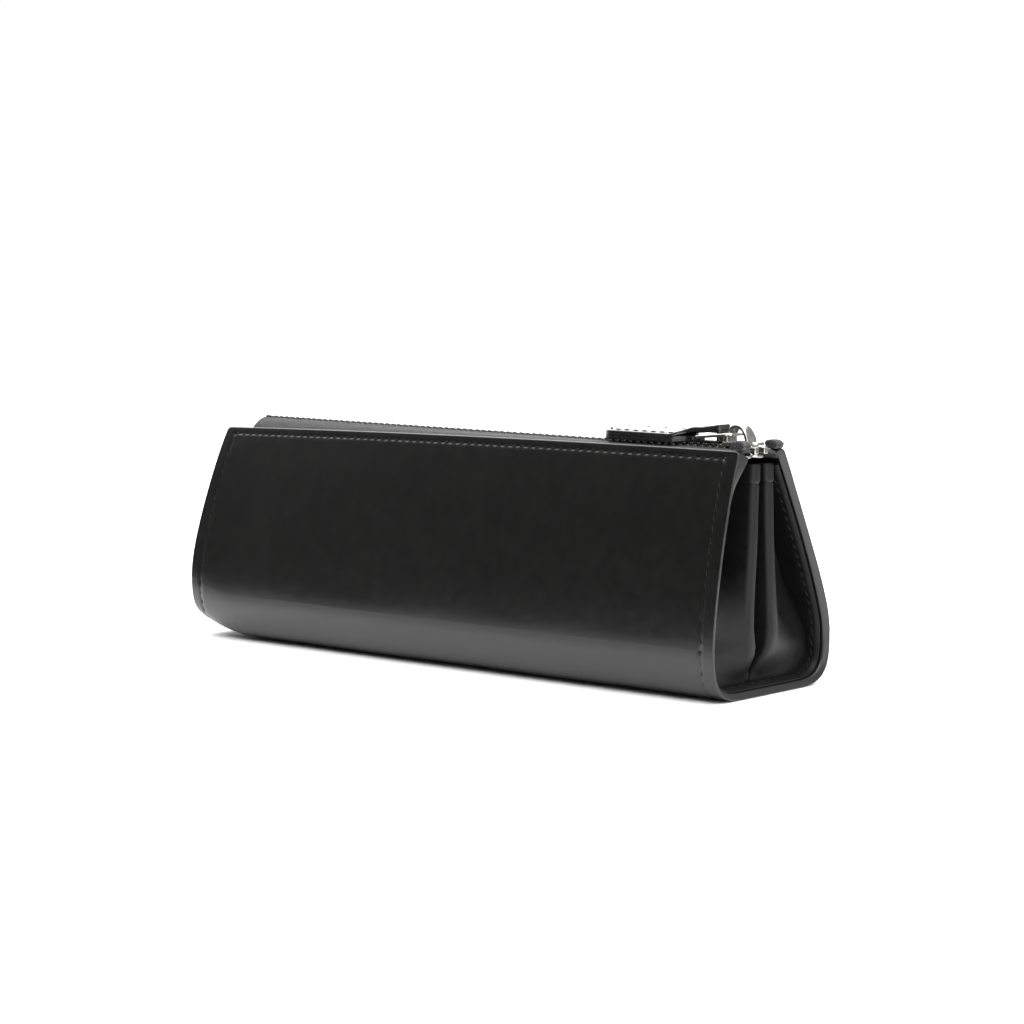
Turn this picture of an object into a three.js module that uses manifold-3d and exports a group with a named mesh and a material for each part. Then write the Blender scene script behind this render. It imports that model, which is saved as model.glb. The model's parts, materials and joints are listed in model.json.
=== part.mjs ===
// Zipped leather pen case: a leather wrap with pleated gussets at both ends and a metal zip along the top.
// Millimetres. +X runs along the case to the end where the slider rests, -Y is the front, +Z is up.
// The origin is under the middle of the case, on the surface that it stands on.

import * as THREE from 'three';
import { mergeVertices } from 'three/addons/utils/BufferGeometryUtils.js';
import Module from 'manifold-3d';

const wasm = await Module();
wasm.setup();

// Case
const HALF_LENGTH = 100;
const HALF_WIDTH = 26.6;      // half the width at its widest, low on the walls
const CREASE_Z = 14;          // height of the line where a wall leaves the rounded corner of the base
const FOOT_HALF = 13;         // half the width of the flat underside
const TOP_Z = 64.5;           // mean height of the ends of the walls' top edges
const TOP_RISE = 0.006;       // the top edges rise this much per millimetre of X
const TOP_ARCH = 0.7;         // and stand this much higher at mid length than at the ends
const MOUTH_HALF = 10;        // half the width across the walls' outer faces at the top
const MOUTH_Y = -3.25;        // middle of the mouth at mid length
const MOUTH_TWIST = -0.0275;  // the mouth turns this much, in Y per millimetre of X, against the base
const BOW_FRONT = 2.2;        // how far the walls bulge
const BOW_BACK = 0.6;
const END_LIFT = 4.5;         // the base curls up this much at the far end
const LIFT_LENGTH = 22;
const CORNER_LOW = 4.2;       // where the curve between the crease and the underside is pulled to
const CORNER_WIDE = 24.5;

// Layers
const LEATHER = 1.9;
const LINING = 0.6;
const TAPE = 0.6;
const PLY_GAP = 0.1;          // between two layers of one wall
const CREASE_GAP = 0.4;       // between the base and a wall that turns on it
const TAPE_SEAM = 11;         // depth of tape sewn to a wall, below its top edge
const GUSSET = 1.0;

// Zip
const CHAIN_RIGHT = new THREE.Vector3(93, -5.8, 64.7);   // middle of the chain under the slider
const CHAIN_SLOPE = -0.0103;  // the chain falls this much per millimetre of X
const TOOTH_PITCH = 2.45;
const TOOTH_WIDTH = 1.0;
const TOOTH_REACH = 1.1;      // how far a tooth passes the middle of the chain
const BEAD_IN = 1.4;          // the bead that the teeth clamp, from the middle of the chain
const BEAD_OUT = 2.8;
const CHAIN_HEIGHT = 2.0;
const TOOTH_COUNT = 74;
const SLIDER_HALF = 5;
const CHANNEL = 2.4;
const PLATE = 0.9;

const LEATHER_BLACK = new THREE.MeshStandardMaterial({ color: 0x0c0c0d, roughness: 0.36, metalness: 0 });
const GUSSET_BLACK = new THREE.MeshStandardMaterial({ color: 0x101010, roughness: 0.5, metalness: 0 });
const LINING_BLACK = new THREE.MeshStandardMaterial({ color: 0x17171a, roughness: 0.9, metalness: 0 });
const TAPE_BLACK = new THREE.MeshStandardMaterial({ color: 0x0e0e10, roughness: 0.85, metalness: 0 });
const NICKEL = new THREE.MeshStandardMaterial({ color: 0xc9c6bf, roughness: 0.22, metalness: 1 });

const penCase = new THREE.Group();

function addMesh(name, geometry, material, parent = penCase) {
  const mesh = new THREE.Mesh(geometry, material);
  mesh.name = name;
  parent.add(mesh);
  return mesh;
}

// ---- sheets: a closed plate between two grids of points

function closedSheet(outer, inner) {
  const rows = outer.length;
  const cols = outer[0].length;
  const positions = [];
  for (const p of [outer, inner].flat(2)) {
    positions.push(p.x, p.y, p.z);
  }
  const at = (side, i, j) => (side * rows + i) * cols + j;
  const triangles = [];
  const quad = (a, b, c, d) => triangles.push(a, b, c, a, c, d);
  for (let i = 0; i + 1 < rows; i++) {
    for (let j = 0; j + 1 < cols; j++) {
      quad(at(0, i, j), at(0, i + 1, j), at(0, i + 1, j + 1), at(0, i, j + 1));
      quad(at(1, i, j), at(1, i, j + 1), at(1, i + 1, j + 1), at(1, i + 1, j));
    }
  }
  for (let i = 0; i + 1 < rows; i++) {
    quad(at(0, i, 0), at(1, i, 0), at(1, i + 1, 0), at(0, i + 1, 0));
    quad(at(0, i, cols - 1), at(0, i + 1, cols - 1), at(1, i + 1, cols - 1), at(1, i, cols - 1));
  }
  for (let j = 0; j + 1 < cols; j++) {
    quad(at(0, 0, j), at(0, 0, j + 1), at(1, 0, j + 1), at(1, 0, j));
    quad(at(0, rows - 1, j), at(1, rows - 1, j), at(1, rows - 1, j + 1), at(0, rows - 1, j + 1));
  }
  if (signedVolume(positions, triangles) < 0) triangles.reverse();
  const geometry = new THREE.BufferGeometry();
  geometry.setAttribute('position', new THREE.Float32BufferAttribute(positions, 3));
  geometry.setIndex(triangles);
  return geometry;
}

function signedVolume(positions, triangles) {
  const [a, b, c] = [new THREE.Vector3(), new THREE.Vector3(), new THREE.Vector3()];
  let sum = 0;
  for (let t = 0; t < triangles.length; t += 3) {
    a.fromArray(positions, 3 * triangles[t]);
    b.fromArray(positions, 3 * triangles[t + 1]);
    c.fromArray(positions, 3 * triangles[t + 2]);
    sum += a.dot(b.cross(c)) / 6;
  }
  return sum;
}

function spread(from, to, count) {
  return Array.from({ length: count + 1 }, (_, i) => from + ((to - from) * i) / count);
}

// ---- the case's cross-section at x

function lift(x) {
  const t = THREE.MathUtils.clamp((x + HALF_LENGTH) / LIFT_LENGTH, 0, 1);
  return END_LIFT * (1 - t) * (1 - t);
}

const mouthY = (x) => MOUTH_Y + MOUTH_TWIST * x;
const topZ = (x) => TOP_Z + TOP_RISE * x + TOP_ARCH * (1 - (x / HALF_LENGTH) ** 2);
const chainZ = (x) => CHAIN_RIGHT.z + CHAIN_SLOPE * (x - CHAIN_RIGHT.x);

// side is -1 for the front and 1 for the back
function wallCurve(side, x) {
  const crease = new THREE.Vector2(side * HALF_WIDTH, CREASE_Z + lift(x));
  const low = new THREE.Vector2(side * HALF_WIDTH, CREASE_Z + 8 + lift(x));
  const top = new THREE.Vector2(mouthY(x) + side * MOUTH_HALF, topZ(x));
  const outward = new THREE.Vector2(top.y - low.y, low.x - top.x).multiplyScalar(side).normalize();
  const bow = side < 0 ? BOW_FRONT : BOW_BACK;
  const high = top.clone().lerp(low, 0.45).addScaledVector(outward, bow);
  return new THREE.CubicBezierCurve(crease, low, high, top);
}

function cornerCurve(side, x) {
  return new THREE.CubicBezierCurve(
    new THREE.Vector2(side * HALF_WIDTH, CREASE_Z + lift(x)),
    new THREE.Vector2(side * HALF_WIDTH, CORNER_LOW + lift(x)),
    new THREE.Vector2(side * CORNER_WIDE, lift(x)),
    new THREE.Vector2(side * FOOT_HALF, lift(x)),
  );
}

// A point on a curve of the section, moved by depth towards the inside of the case
function inside(curve, side, t, depth, x) {
  const p = curve.getPoint(t);
  const d = curve.getTangent(t);
  const sign = curve.v0.y < curve.v3.y ? 1 : -1;    // up a wall, or down a corner
  return new THREE.Vector3(x, p.x - d.y * depth * side * sign, p.y + d.x * depth * side * sign);
}

// How far along a wall's curve a length of the wall, measured down from its top edge, reaches
function fromTop(curve, length) {
  return curve.getUtoTmapping(1 - length / curve.getLength());
}

function fromCrease(curve, length) {
  return curve.getUtoTmapping(length / curve.getLength());
}

const SECTION_STEPS = 8;
const CASE_STATIONS = [-100, -95, -90, -84, -78, -50, -17, 17, 50, 75, 100];

// X of the stations of a sheet that stops this far from the ends of the case
function stationsWithin(margin) {
  const reach = HALF_LENGTH - margin;
  return [...new Set(CASE_STATIONS.map((x) => THREE.MathUtils.clamp(x, -reach, reach)))];
}

function wallSheet(side, near, far, startLength, endLength, margin = 0) {
  const grid = (depth) => stationsWithin(margin).map((x) => {
    const curve = wallCurve(side, x);
    const first = fromCrease(curve, startLength);
    const last = endLength > 0 ? fromTop(curve, endLength) : 1;
    return spread(first, last, SECTION_STEPS).map((t) => inside(curve, side, t, depth, x));
  });
  return closedSheet(grid(near), grid(far));
}

function baseSheet(near, far, margin = 0) {
  const grid = (depth) => stationsWithin(margin).map((x) => {
    const corner = (side) => {
      const curve = cornerCurve(side, x);
      return spread(0, 1, SECTION_STEPS).map((t) => inside(curve, side, t, depth, x));
    };
    return [...corner(-1), ...corner(1).reverse()];
  });
  return closedSheet(grid(near), grid(far));
}

// ---- leather wrap and lining

addMesh('base_panel', baseSheet(0, LEATHER), LEATHER_BLACK);
addMesh('front_panel', wallSheet(-1, 0, LEATHER, CREASE_GAP, 0), LEATHER_BLACK);
addMesh('back_panel', wallSheet(1, 0, LEATHER, CREASE_GAP, 0), LEATHER_BLACK);

const LINING_NEAR = LEATHER + PLY_GAP;
const LINING_FAR = LINING_NEAR + LINING;
const LINING_MARGIN = 13;     // the lining ends beside the gussets' flanges
const LINING_TOP = TAPE_SEAM + 0.5;

function wallLining(side) {
  return wallSheet(side, LINING_NEAR, LINING_FAR, CREASE_GAP, LINING_TOP, LINING_MARGIN);
}

addMesh('base_lining', baseSheet(LINING_NEAR, LINING_FAR, LINING_MARGIN), LINING_BLACK);
addMesh('front_lining', wallLining(-1), LINING_BLACK);
addMesh('back_lining', wallLining(1), LINING_BLACK);

// ---- gussets: end walls with an inverted pleat, their side edges turned out along the walls

const GUSSET_TOP = 61;
const FLANGE = 12;            // how far a gusset's edge runs along a wall
const RIDGE_HALF = 1.0;       // half the width of a pleat's ridge, on the leather's hidden face
const RIDGE_X = 2;            // from the end of the case to a ridge
const GROOVE_X = 14;          // to the bottom of the pleat
const GROOVE_HALF = 1.3;
const PLEAT_Y = -3.0;         // middle of the pleat
const PLEAT_HEIGHTS = [4, 18, 62];
const PLEAT_APART = [1.9, 5.0, 2.5];   // from the middle to a ridge, at those heights
const GROOVE_FOOT = 5;        // the pleat is this deep at the base
const END_CLEARANCE = 0.3;    // between a gusset and the wall that it is sewn to
const GUSSET_HEIGHTS = [4.2, 8, 13, 18, 26, 38, 50, GUSSET_TOP];
const BISECTIONS = 30;

// Y of the inner face of the case at height z
function innerY(side, x, z) {
  const onWall = z > CREASE_Z + lift(x);
  const curve = onWall ? wallCurve(side, x) : cornerCurve(side, x);
  let [low, high] = [0, 1];
  for (let step = 0; step < BISECTIONS; step++) {
    const middle = (low + high) / 2;
    const above = inside(curve, side, middle, LEATHER + END_CLEARANCE, x).z > z;
    [low, high] = above === onWall ? [low, middle] : [middle, high];
  }
  return inside(curve, side, low, LEATHER + END_CLEARANCE, x).y;
}

// One row of a gusset's hidden face at height z, across the case, as [distance from the end, y]
function gussetRow(end, z) {
  const x = end * (HALF_LENGTH - FLANGE);
  const edge = end * HALF_LENGTH;
  const [foot, wide, mouth] = PLEAT_HEIGHTS;
  const opened = THREE.MathUtils.clamp((z - foot) / (wide - foot), 0, 1);
  const closed = THREE.MathUtils.clamp((z - wide) / (mouth - wide), 0, 1);
  const low = THREE.MathUtils.lerp(PLEAT_APART[0], PLEAT_APART[1], opened);
  const apart = THREE.MathUtils.lerp(low, PLEAT_APART[2], closed);
  const groove = THREE.MathUtils.lerp(GROOVE_FOOT, GROOVE_X, opened);
  const ridge = (centre) => [[RIDGE_X, centre - RIDGE_HALF], [RIDGE_X, centre + RIDGE_HALF]];
  return [
    [0, innerY(-1, edge, z)], [FLANGE, innerY(-1, x, z)],
    ...ridge(PLEAT_Y - apart), [groove, PLEAT_Y - GROOVE_HALF],
    [groove, PLEAT_Y + GROOVE_HALF], ...ridge(PLEAT_Y + apart),
    [FLANGE, innerY(1, x, z)], [0, innerY(1, edge, z)],
  ];
}

// The same outline moved by depth to the side that shows, with mitred corners
function offsetRow(row, depth) {
  const points = row.map(([d, y]) => new THREE.Vector2(d, y));
  const normals = points.slice(1).map((p, i) => {
    const along = p.clone().sub(points[i]).normalize();
    return new THREE.Vector2(-along.y, along.x);
  });
  return points.map((p, i) => {
    const [a, b] = [normals[Math.max(i - 1, 0)], normals[Math.min(i, normals.length - 1)]];
    const mitre = a.clone().add(b).normalize();
    return p.clone().addScaledVector(mitre, depth / mitre.dot(a));
  });
}

function gussetSheet(end) {
  const curl = lift(end * HALF_LENGTH);
  const heights = GUSSET_HEIGHTS.map((z) => z + curl * (1 - z / GUSSET_TOP));
  const grid = (depth) => heights.map((z) => (
    offsetRow(gussetRow(end, z), depth).map((p) => new THREE.Vector3(end * (HALF_LENGTH - p.x), p.y, z))
  ));
  return closedSheet(grid(0), grid(GUSSET));
}

addMesh('gusset_right', gussetSheet(1), GUSSET_BLACK);
addMesh('gusset_left', gussetSheet(-1), GUSSET_BLACK);

// ---- zip tapes: sewn inside the walls, turned over the mouth to the chain

const TAPE_NOTCH = HALF_LENGTH - FLANGE - 0.3;   // beside the slider the tape stays above the gusset
const TAPE_START = -91;
const TAPE_FINISH = 99;
const TAPE_STATIONS = [
  TAPE_START, -TAPE_NOTCH, 0.3 - TAPE_NOTCH, -50, 0, 50, TAPE_NOTCH - 0.3, TAPE_NOTCH, TAPE_FINISH,
];
const TAPE_EDGE = BEAD_OUT + PLY_GAP;
const TAPE_NARROW = 1.9;      // its depth above a gusset
const TAPE_TURN = 1.5;        // where it leaves the wall, below the top edge

function tapeSheet(side) {
  const near = LEATHER + PLY_GAP;
  const upper = [];
  const lower = [];
  for (const x of TAPE_STATIONS) {
    const curve = wallCurve(side, x);
    const depth = Math.abs(x) < TAPE_NOTCH ? TAPE_SEAM : TAPE_NARROW;
    const sewn = [depth, (depth + TAPE_TURN) / 2, TAPE_TURN].map((length) => fromTop(curve, length));
    const chain = new THREE.Vector3(x, mouthY(x) + side * TAPE_EDGE, chainZ(x));
    const bend = inside(curve, side, 1, near, x).lerp(chain, 0.3).setZ(chainZ(x) - 0.25);
    const edge = [bend, chain];
    const row = (depthIn, rise) => [
      ...sewn.map((t) => inside(curve, side, t, depthIn, x)),
      ...edge.map((p) => p.clone().setZ(p.z + rise)),
    ];
    upper.push(row(near, TAPE / 2));
    lower.push(row(near + TAPE, -TAPE / 2));
  }
  return closedSheet(upper, lower);
}

addMesh('tape_front', tapeSheet(-1), TAPE_BLACK);
addMesh('tape_back', tapeSheet(1), TAPE_BLACK);

// ---- chain and slider: local X along the chain, local Z up through it

const chain = new THREE.Group();
chain.position.copy(CHAIN_RIGHT);
chain.rotation.set(0, -Math.atan(CHAIN_SLOPE), Math.atan(MOUTH_TWIST), 'ZYX');
penCase.add(chain);

const TEETH_END = 0.5;        // the last tooth, just left of the slider's post
const BEAD_END = 5.2;

function combOutline(side) {
  const outline = new THREE.Shape();
  const start = TEETH_END - TOOTH_COUNT * TOOTH_PITCH;
  const shift = side > 0 ? TOOTH_PITCH / 2 : 0;
  outline.moveTo(start, side * BEAD_OUT);
  outline.lineTo(start, side * BEAD_IN);
  for (let k = 0; k < TOOTH_COUNT; k++) {
    const x = start + shift + TOOTH_WIDTH / 2 + 0.2 + k * TOOTH_PITCH;
    outline.lineTo(x, side * BEAD_IN);
    outline.lineTo(x, -side * TOOTH_REACH);
    outline.lineTo(x + TOOTH_WIDTH, -side * TOOTH_REACH);
    outline.lineTo(x + TOOTH_WIDTH, side * BEAD_IN);
  }
  outline.lineTo(BEAD_END, side * BEAD_IN);
  outline.lineTo(BEAD_END, side * BEAD_OUT);
  return outline;
}

// An outline in the local XY plane, made solid from height low to height high
function plate(outline, low, high, steps = 8) {
  const options = { depth: high - low, bevelEnabled: false, curveSegments: steps };
  return new THREE.ExtrudeGeometry(outline, options).translate(0, 0, low);
}

// An outline drawn in the local XZ plane, made solid across Y from -half to half
function arch(outline, half) {
  const options = { depth: 2 * half, bevelEnabled: false, curveSegments: 6 };
  return new THREE.ExtrudeGeometry(outline, options).translate(0, 0, -half).rotateX(Math.PI / 2);
}

addMesh('teeth_front', plate(combOutline(-1), -CHAIN_HEIGHT / 2, CHAIN_HEIGHT / 2), NICKEL, chain);
addMesh('teeth_back', plate(combOutline(1), -CHAIN_HEIGHT / 2, CHAIN_HEIGHT / 2), NICKEL, chain);

const STOP_HEIGHT = 0.95;     // half of it; the stops stay under the tab
const BOTTOM_STOP = [2.6, 5.4];              // length and width
const TOP_STOP = [1.5, 1.7];
const BOTTOM_STOP_X = TEETH_END - TOOTH_COUNT * TOOTH_PITCH - 1.6;
const TOP_STOP_X = 6.05;
const TOP_STOP_Y = 1.95;
const stopBox = ([length, width], x, y) => (
  new THREE.BoxGeometry(length, width, 2 * STOP_HEIGHT).translate(x, y, 0)
);
addMesh('bottom_stop', stopBox(BOTTOM_STOP, BOTTOM_STOP_X, 0), NICKEL, chain);
addMesh('top_stop_front', stopBox(TOP_STOP, TOP_STOP_X, -TOP_STOP_Y), NICKEL, chain);
addMesh('top_stop_back', stopBox(TOP_STOP, TOP_STOP_X, TOP_STOP_Y), NICKEL, chain);

function solid(geometry) {
  const bare = geometry.clone();
  bare.deleteAttribute('normal');
  bare.deleteAttribute('uv');
  const merged = mergeVertices(bare, 1e-4);
  return new wasm.Manifold(new wasm.Mesh({
    numProp: 3,
    vertProperties: new Float32Array(merged.attributes.position.array),
    triVerts: new Uint32Array(merged.index.array),
  }));
}

function fromSolid(manifold) {
  const mesh = manifold.getMesh();
  const geometry = new THREE.BufferGeometry();
  geometry.setAttribute('position', new THREE.BufferAttribute(new Float32Array(mesh.vertProperties), 3));
  geometry.setIndex(new THREE.BufferAttribute(new Uint32Array(mesh.triVerts), 1));
  return geometry;
}

// The slider's plates: a waisted shield, wider where the two halves of the chain come in
function shieldOutline() {
  const outline = new THREE.Shape();
  outline.moveTo(-SLIDER_HALF, -2.6);
  outline.quadraticCurveTo(-1, -3.9, SLIDER_HALF - 1.5, -4.3);
  outline.quadraticCurveTo(SLIDER_HALF, -4.2, SLIDER_HALF, -2.4);
  outline.lineTo(SLIDER_HALF - 1.2, 0);
  outline.lineTo(SLIDER_HALF, 2.4);
  outline.quadraticCurveTo(SLIDER_HALF, 4.2, SLIDER_HALF - 1.5, 4.3);
  outline.quadraticCurveTo(-1, 3.9, -SLIDER_HALF, 2.6);
  return outline;
}

function sliderBody() {
  const half = CHANNEL / 2;
  const lower = solid(plate(shieldOutline(), -half - PLATE, -half, 4));
  const upper = solid(plate(shieldOutline(), half, half + PLATE, 4));
  const wedge = new THREE.Shape();
  wedge.moveTo(1.9, 0);
  wedge.lineTo(3.4, -1.15);
  wedge.lineTo(4.0, 0);
  wedge.lineTo(3.4, 1.15);
  const post = solid(plate(wedge, -half - PLATE / 2, half + PLATE / 2));
  return fromSolid(lower.add(upper).add(post));
}

addMesh('slider_body', sliderBody(), NICKEL, chain);

const BRIDGE_BASE = CHANNEL / 2 + PLATE + 0.05;
const BRIDGE_RISE = 6.1;      // control heights of the bridge's outer and inner arcs
const BRIDGE_CLEAR = 4.7;
const RING_PIVOT = new THREE.Vector3(-1.1, 0, 3.9);

function bridgeOutline() {
  const outline = new THREE.Shape();
  outline.moveTo(-3.9, BRIDGE_BASE);
  outline.bezierCurveTo(-3.9, BRIDGE_BASE + BRIDGE_RISE, 2.6, BRIDGE_BASE + BRIDGE_RISE, 3.9, BRIDGE_BASE);
  outline.lineTo(2.5, BRIDGE_BASE);
  outline.bezierCurveTo(2.2, BRIDGE_BASE + BRIDGE_CLEAR, -2.8, BRIDGE_BASE + BRIDGE_CLEAR, -2.9, BRIDGE_BASE);
  return outline;
}

const BRIDGE_HALF_WIDTH = 2.3;
addMesh('slider_bridge', arch(bridgeOutline(), BRIDGE_HALF_WIDTH), NICKEL, chain);

// ---- pull: a flat ring through the bridge, and a leather tab folded round the ring

const RING_LENGTH = 12.8;
const RING_HALF_WIDTH = 4.6;
const RING_BAR = 1.2;
const RING_CORNER = 2.4;
const RING_HALF_THICK = 0.45;
const RING_FALL = 0.1;        // the ring slopes down, away from the bridge
const TAB_BOTTOM = 1.15;      // above the middle of the chain
const PLY = 0.85;
const RING_SPACE = 1.6;
const TAB_TOP_PLY = TAB_BOTTOM + PLY + RING_SPACE;

// A rectangle with round corners from x0 to x1, in the XY plane
function roundRectangle(target, x0, x1, half, corner) {
  target.moveTo(x0 + corner, -half);
  target.lineTo(x1 - corner, -half);
  target.absarc(x1 - corner, corner - half, corner, -Math.PI / 2, 0, false);
  target.absarc(x1 - corner, half - corner, corner, 0, Math.PI / 2, false);
  target.absarc(x0 + corner, half - corner, corner, Math.PI / 2, Math.PI, false);
  target.absarc(x0 + corner, corner - half, corner, Math.PI, (3 * Math.PI) / 2, false);
  return target;
}

const ring = new THREE.Group();
ring.position.copy(RING_PIVOT);
ring.rotation.y = -Math.atan(RING_FALL);
chain.add(ring);
const ringStart = -RING_LENGTH + RING_BAR / 2;
const ringOutline = roundRectangle(new THREE.Shape(), ringStart, RING_BAR / 2, RING_HALF_WIDTH, RING_CORNER);
ringOutline.holes.push(roundRectangle(
  new THREE.Path(), ringStart + RING_BAR, -RING_BAR / 2, RING_HALF_WIDTH - RING_BAR, RING_CORNER - RING_BAR,
));
addMesh('pull_ring', plate(ringOutline, -RING_HALF_THICK, RING_HALF_THICK, 4), NICKEL, ring);

const TAB_END = -45.0;
const TAB_SHOULDER = -20.5;
const TAB_HALF_WIDTH = 6;
const NECK_HALF_WIDTH = 2.7;
const NECK_END = -5.3;
const NECK_START = -14.5;
const NECK_THICK = 1.85;      // the neck is thicker than the ply that it grows from

// The tab from above: a broad rounded paddle that narrows to a neck ending at x = end
function tabOutline(end, inset) {
  const outline = new THREE.Shape();
  const half = TAB_HALF_WIDTH - inset;
  const neck = NECK_HALF_WIDTH - inset;
  const left = TAB_END + inset;
  outline.moveTo(left + half, -half);
  outline.lineTo(TAB_SHOULDER - 1, -half);
  outline.bezierCurveTo(TAB_SHOULDER + 1.5, -half, TAB_SHOULDER + 1, -neck, TAB_SHOULDER + 4.5, -neck);
  outline.lineTo(end, -neck);
  outline.lineTo(end, neck);
  outline.lineTo(TAB_SHOULDER + 4.5, neck);
  outline.bezierCurveTo(TAB_SHOULDER + 1, neck, TAB_SHOULDER + 1.5, half, TAB_SHOULDER - 1, half);
  outline.lineTo(left + half, half);
  outline.absarc(left + half, 0, half, Math.PI / 2, (3 * Math.PI) / 2, false);
  return outline;
}

// The top ply carries the thick neck and the fold that comes down through the ring
function topPly() {
  const ply = solid(plate(tabOutline(NECK_END, 0), TAB_TOP_PLY, TAB_TOP_PLY + PLY, 6));
  const neckLength = NECK_END - NECK_START;
  const neck = new THREE.BoxGeometry(neckLength, 2 * NECK_HALF_WIDTH, NECK_THICK);
  neck.translate(NECK_START + neckLength / 2, 0, TAB_TOP_PLY + NECK_THICK / 2);
  const height = TAB_TOP_PLY + PLY / 2 - TAB_BOTTOM;
  const fold = new THREE.BoxGeometry(1, 2 * NECK_HALF_WIDTH, height);
  fold.translate(NECK_END - 0.5, 0, TAB_BOTTOM + height / 2);
  return fromSolid(ply.add(solid(fold)).add(solid(neck)));
}

const CORE_END = TAB_SHOULDER + 5;
const PLY_SPLIT = 0.3;
const CORE_INSET = 0.6;
const CORE_LOW = TAB_BOTTOM + PLY + PLY_GAP;
const core = plate(tabOutline(CORE_END, CORE_INSET), CORE_LOW, TAB_TOP_PLY - PLY_GAP, 6);
const bottomPly = plate(tabOutline(NECK_END - 1 - PLY_SPLIT, 0), TAB_BOTTOM, TAB_BOTTOM + PLY, 6);
addMesh('pull_tab_top', topPly(), LEATHER_BLACK, chain);
addMesh('pull_tab_core', core, LEATHER_BLACK, chain);
addMesh('pull_tab_bottom', bottomPly, LEATHER_BLACK, chain);

// ---- the tapes' turned-back tails beside the slider

const TAIL_X = HALF_LENGTH - 3;
const TAIL_Y = 7.4;           // from the middle of the mouth
const TAIL_HALF_WIDTH = 1.9;
const TAIL_CLEARANCE = 0.35;  // above a wall's top edge

function tapeTail(side) {
  const outline = new THREE.Shape();
  outline.moveTo(-2.6, 0);
  outline.lineTo(2.2, 0);
  outline.quadraticCurveTo(2.8, 1.5, 1.4, 2.4);
  outline.quadraticCurveTo(-1, 3.2, -2.4, 1.8);
  const name = side < 0 ? 'tape_tail_front' : 'tape_tail_back';
  const tail = addMesh(name, arch(outline, TAIL_HALF_WIDTH), TAPE_BLACK);
  tail.position.set(TAIL_X, mouthY(TAIL_X) + side * TAIL_Y, topZ(TAIL_X) + TAIL_CLEARANCE);
}

tapeTail(-1);
tapeTail(1);

export default penCase;
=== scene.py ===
"""Looks of a zipped leather pen case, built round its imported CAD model.

Lengths below are millimetres, in the CAD frame: +X along the case to the end where the slider rests,
-Y the front, +Z up. A mesh is turned into metres when it is made.
"""

import json
import math

import bmesh
import bpy
import numpy as np
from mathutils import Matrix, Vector


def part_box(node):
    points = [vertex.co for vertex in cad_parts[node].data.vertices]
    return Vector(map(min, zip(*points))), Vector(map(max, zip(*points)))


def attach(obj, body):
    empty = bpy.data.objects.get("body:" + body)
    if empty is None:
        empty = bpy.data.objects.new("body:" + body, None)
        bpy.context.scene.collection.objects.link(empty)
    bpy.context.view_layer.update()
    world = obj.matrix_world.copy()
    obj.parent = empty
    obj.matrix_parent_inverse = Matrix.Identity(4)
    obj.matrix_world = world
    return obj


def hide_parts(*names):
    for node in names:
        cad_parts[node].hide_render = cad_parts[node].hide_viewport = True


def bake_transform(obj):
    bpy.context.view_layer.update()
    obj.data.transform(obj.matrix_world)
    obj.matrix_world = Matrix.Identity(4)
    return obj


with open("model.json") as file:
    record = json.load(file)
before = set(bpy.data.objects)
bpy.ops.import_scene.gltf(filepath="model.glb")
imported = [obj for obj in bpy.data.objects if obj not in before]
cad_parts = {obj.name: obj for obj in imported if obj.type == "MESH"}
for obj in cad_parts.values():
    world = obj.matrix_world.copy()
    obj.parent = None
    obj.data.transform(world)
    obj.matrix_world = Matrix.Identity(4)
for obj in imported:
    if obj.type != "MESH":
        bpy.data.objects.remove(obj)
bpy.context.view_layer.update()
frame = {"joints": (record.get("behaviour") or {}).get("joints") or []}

MM = 0.001
JOINTS = {joint["name"]: joint for joint in frame["joints"]}


def span(node):
    """Lowest and highest corner of a CAD node, in millimetres."""
    low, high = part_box(node)
    return np.array(low) / MM, np.array(high) / MM


# ---- the section of the case, the same as the CAD wrap's

HALF_LENGTH = span("base_panel")[1][0]
HALF_WIDTH = span("base_panel")[1][1]
CREASE_Z = JOINTS["back_wall_open"]["pos_m"][2] / MM
FOOT_HALF = 13.0
CORNER_LOW = 4.2
CORNER_WIDE = 24.5
TOP_Z = 64.5
TOP_RISE = 0.006
TOP_ARCH = 0.7
MOUTH_HALF = 10.0
MOUTH_Y = -3.25
MOUTH_TWIST = -0.0275
BOW = {-1: 2.2, 1: 0.6}          # how far the front and the back wall bulge
END_TURN = {-1: 0.45, 1: 0.7}    # the wrap's cut ends face a little inward: this slope on the walls,
END_TURN_BASE = 0.5              # this on the base,
END_TURN_LENGTH = 3.0            # dying out this far in
END_LIFT = 4.5                   # the base curls up this much at the far end
LIFT_LENGTH = 22.0
LEATHER = 1.9
LINING = 0.6
TAPE = 0.6
GUSSET = 1.0
GUSSET_TOP = span("gusset_right")[1][2]
FLANGE = 12.0

# ---- the chain, along the slider's joint

CHAIN_RIGHT = np.array([93.0, -5.8, 64.7])
slide = np.array(JOINTS["slider_slide"]["axis"])
CHAIN_X = -slide / np.linalg.norm(slide)
CHAIN_Y = np.cross([0.0, 0.0, 1.0], CHAIN_X)
CHAIN_Y /= np.linalg.norm(CHAIN_Y)
CHAIN_Z = np.cross(CHAIN_X, CHAIN_Y)
CHAIN_SLOPE = CHAIN_X[2] / CHAIN_X[0]
TOOTH_PITCH = 2.45
TOOTH_COUNT = 74
TEETH_END = 0.5
CHAIN_START = TEETH_END - TOOTH_COUNT * TOOTH_PITCH

# ---- the walls' bodies and names, and the curves of the section

WALL_BODY = {-1: "front_wall", 1: "back_wall"}
WALL_NAME = {-1: "front", 1: "back"}


def smoothstep(value, low, high):
    t = np.clip((value - low) / (high - low), 0, 1)
    return t * t * (3 - 2 * t)


def lerp(a, b, t):
    return a + (b - a) * t


def lift(x):
    t = np.clip((x + HALF_LENGTH) / LIFT_LENGTH, 0, 1)
    return END_LIFT * (1 - t) ** 2


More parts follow.
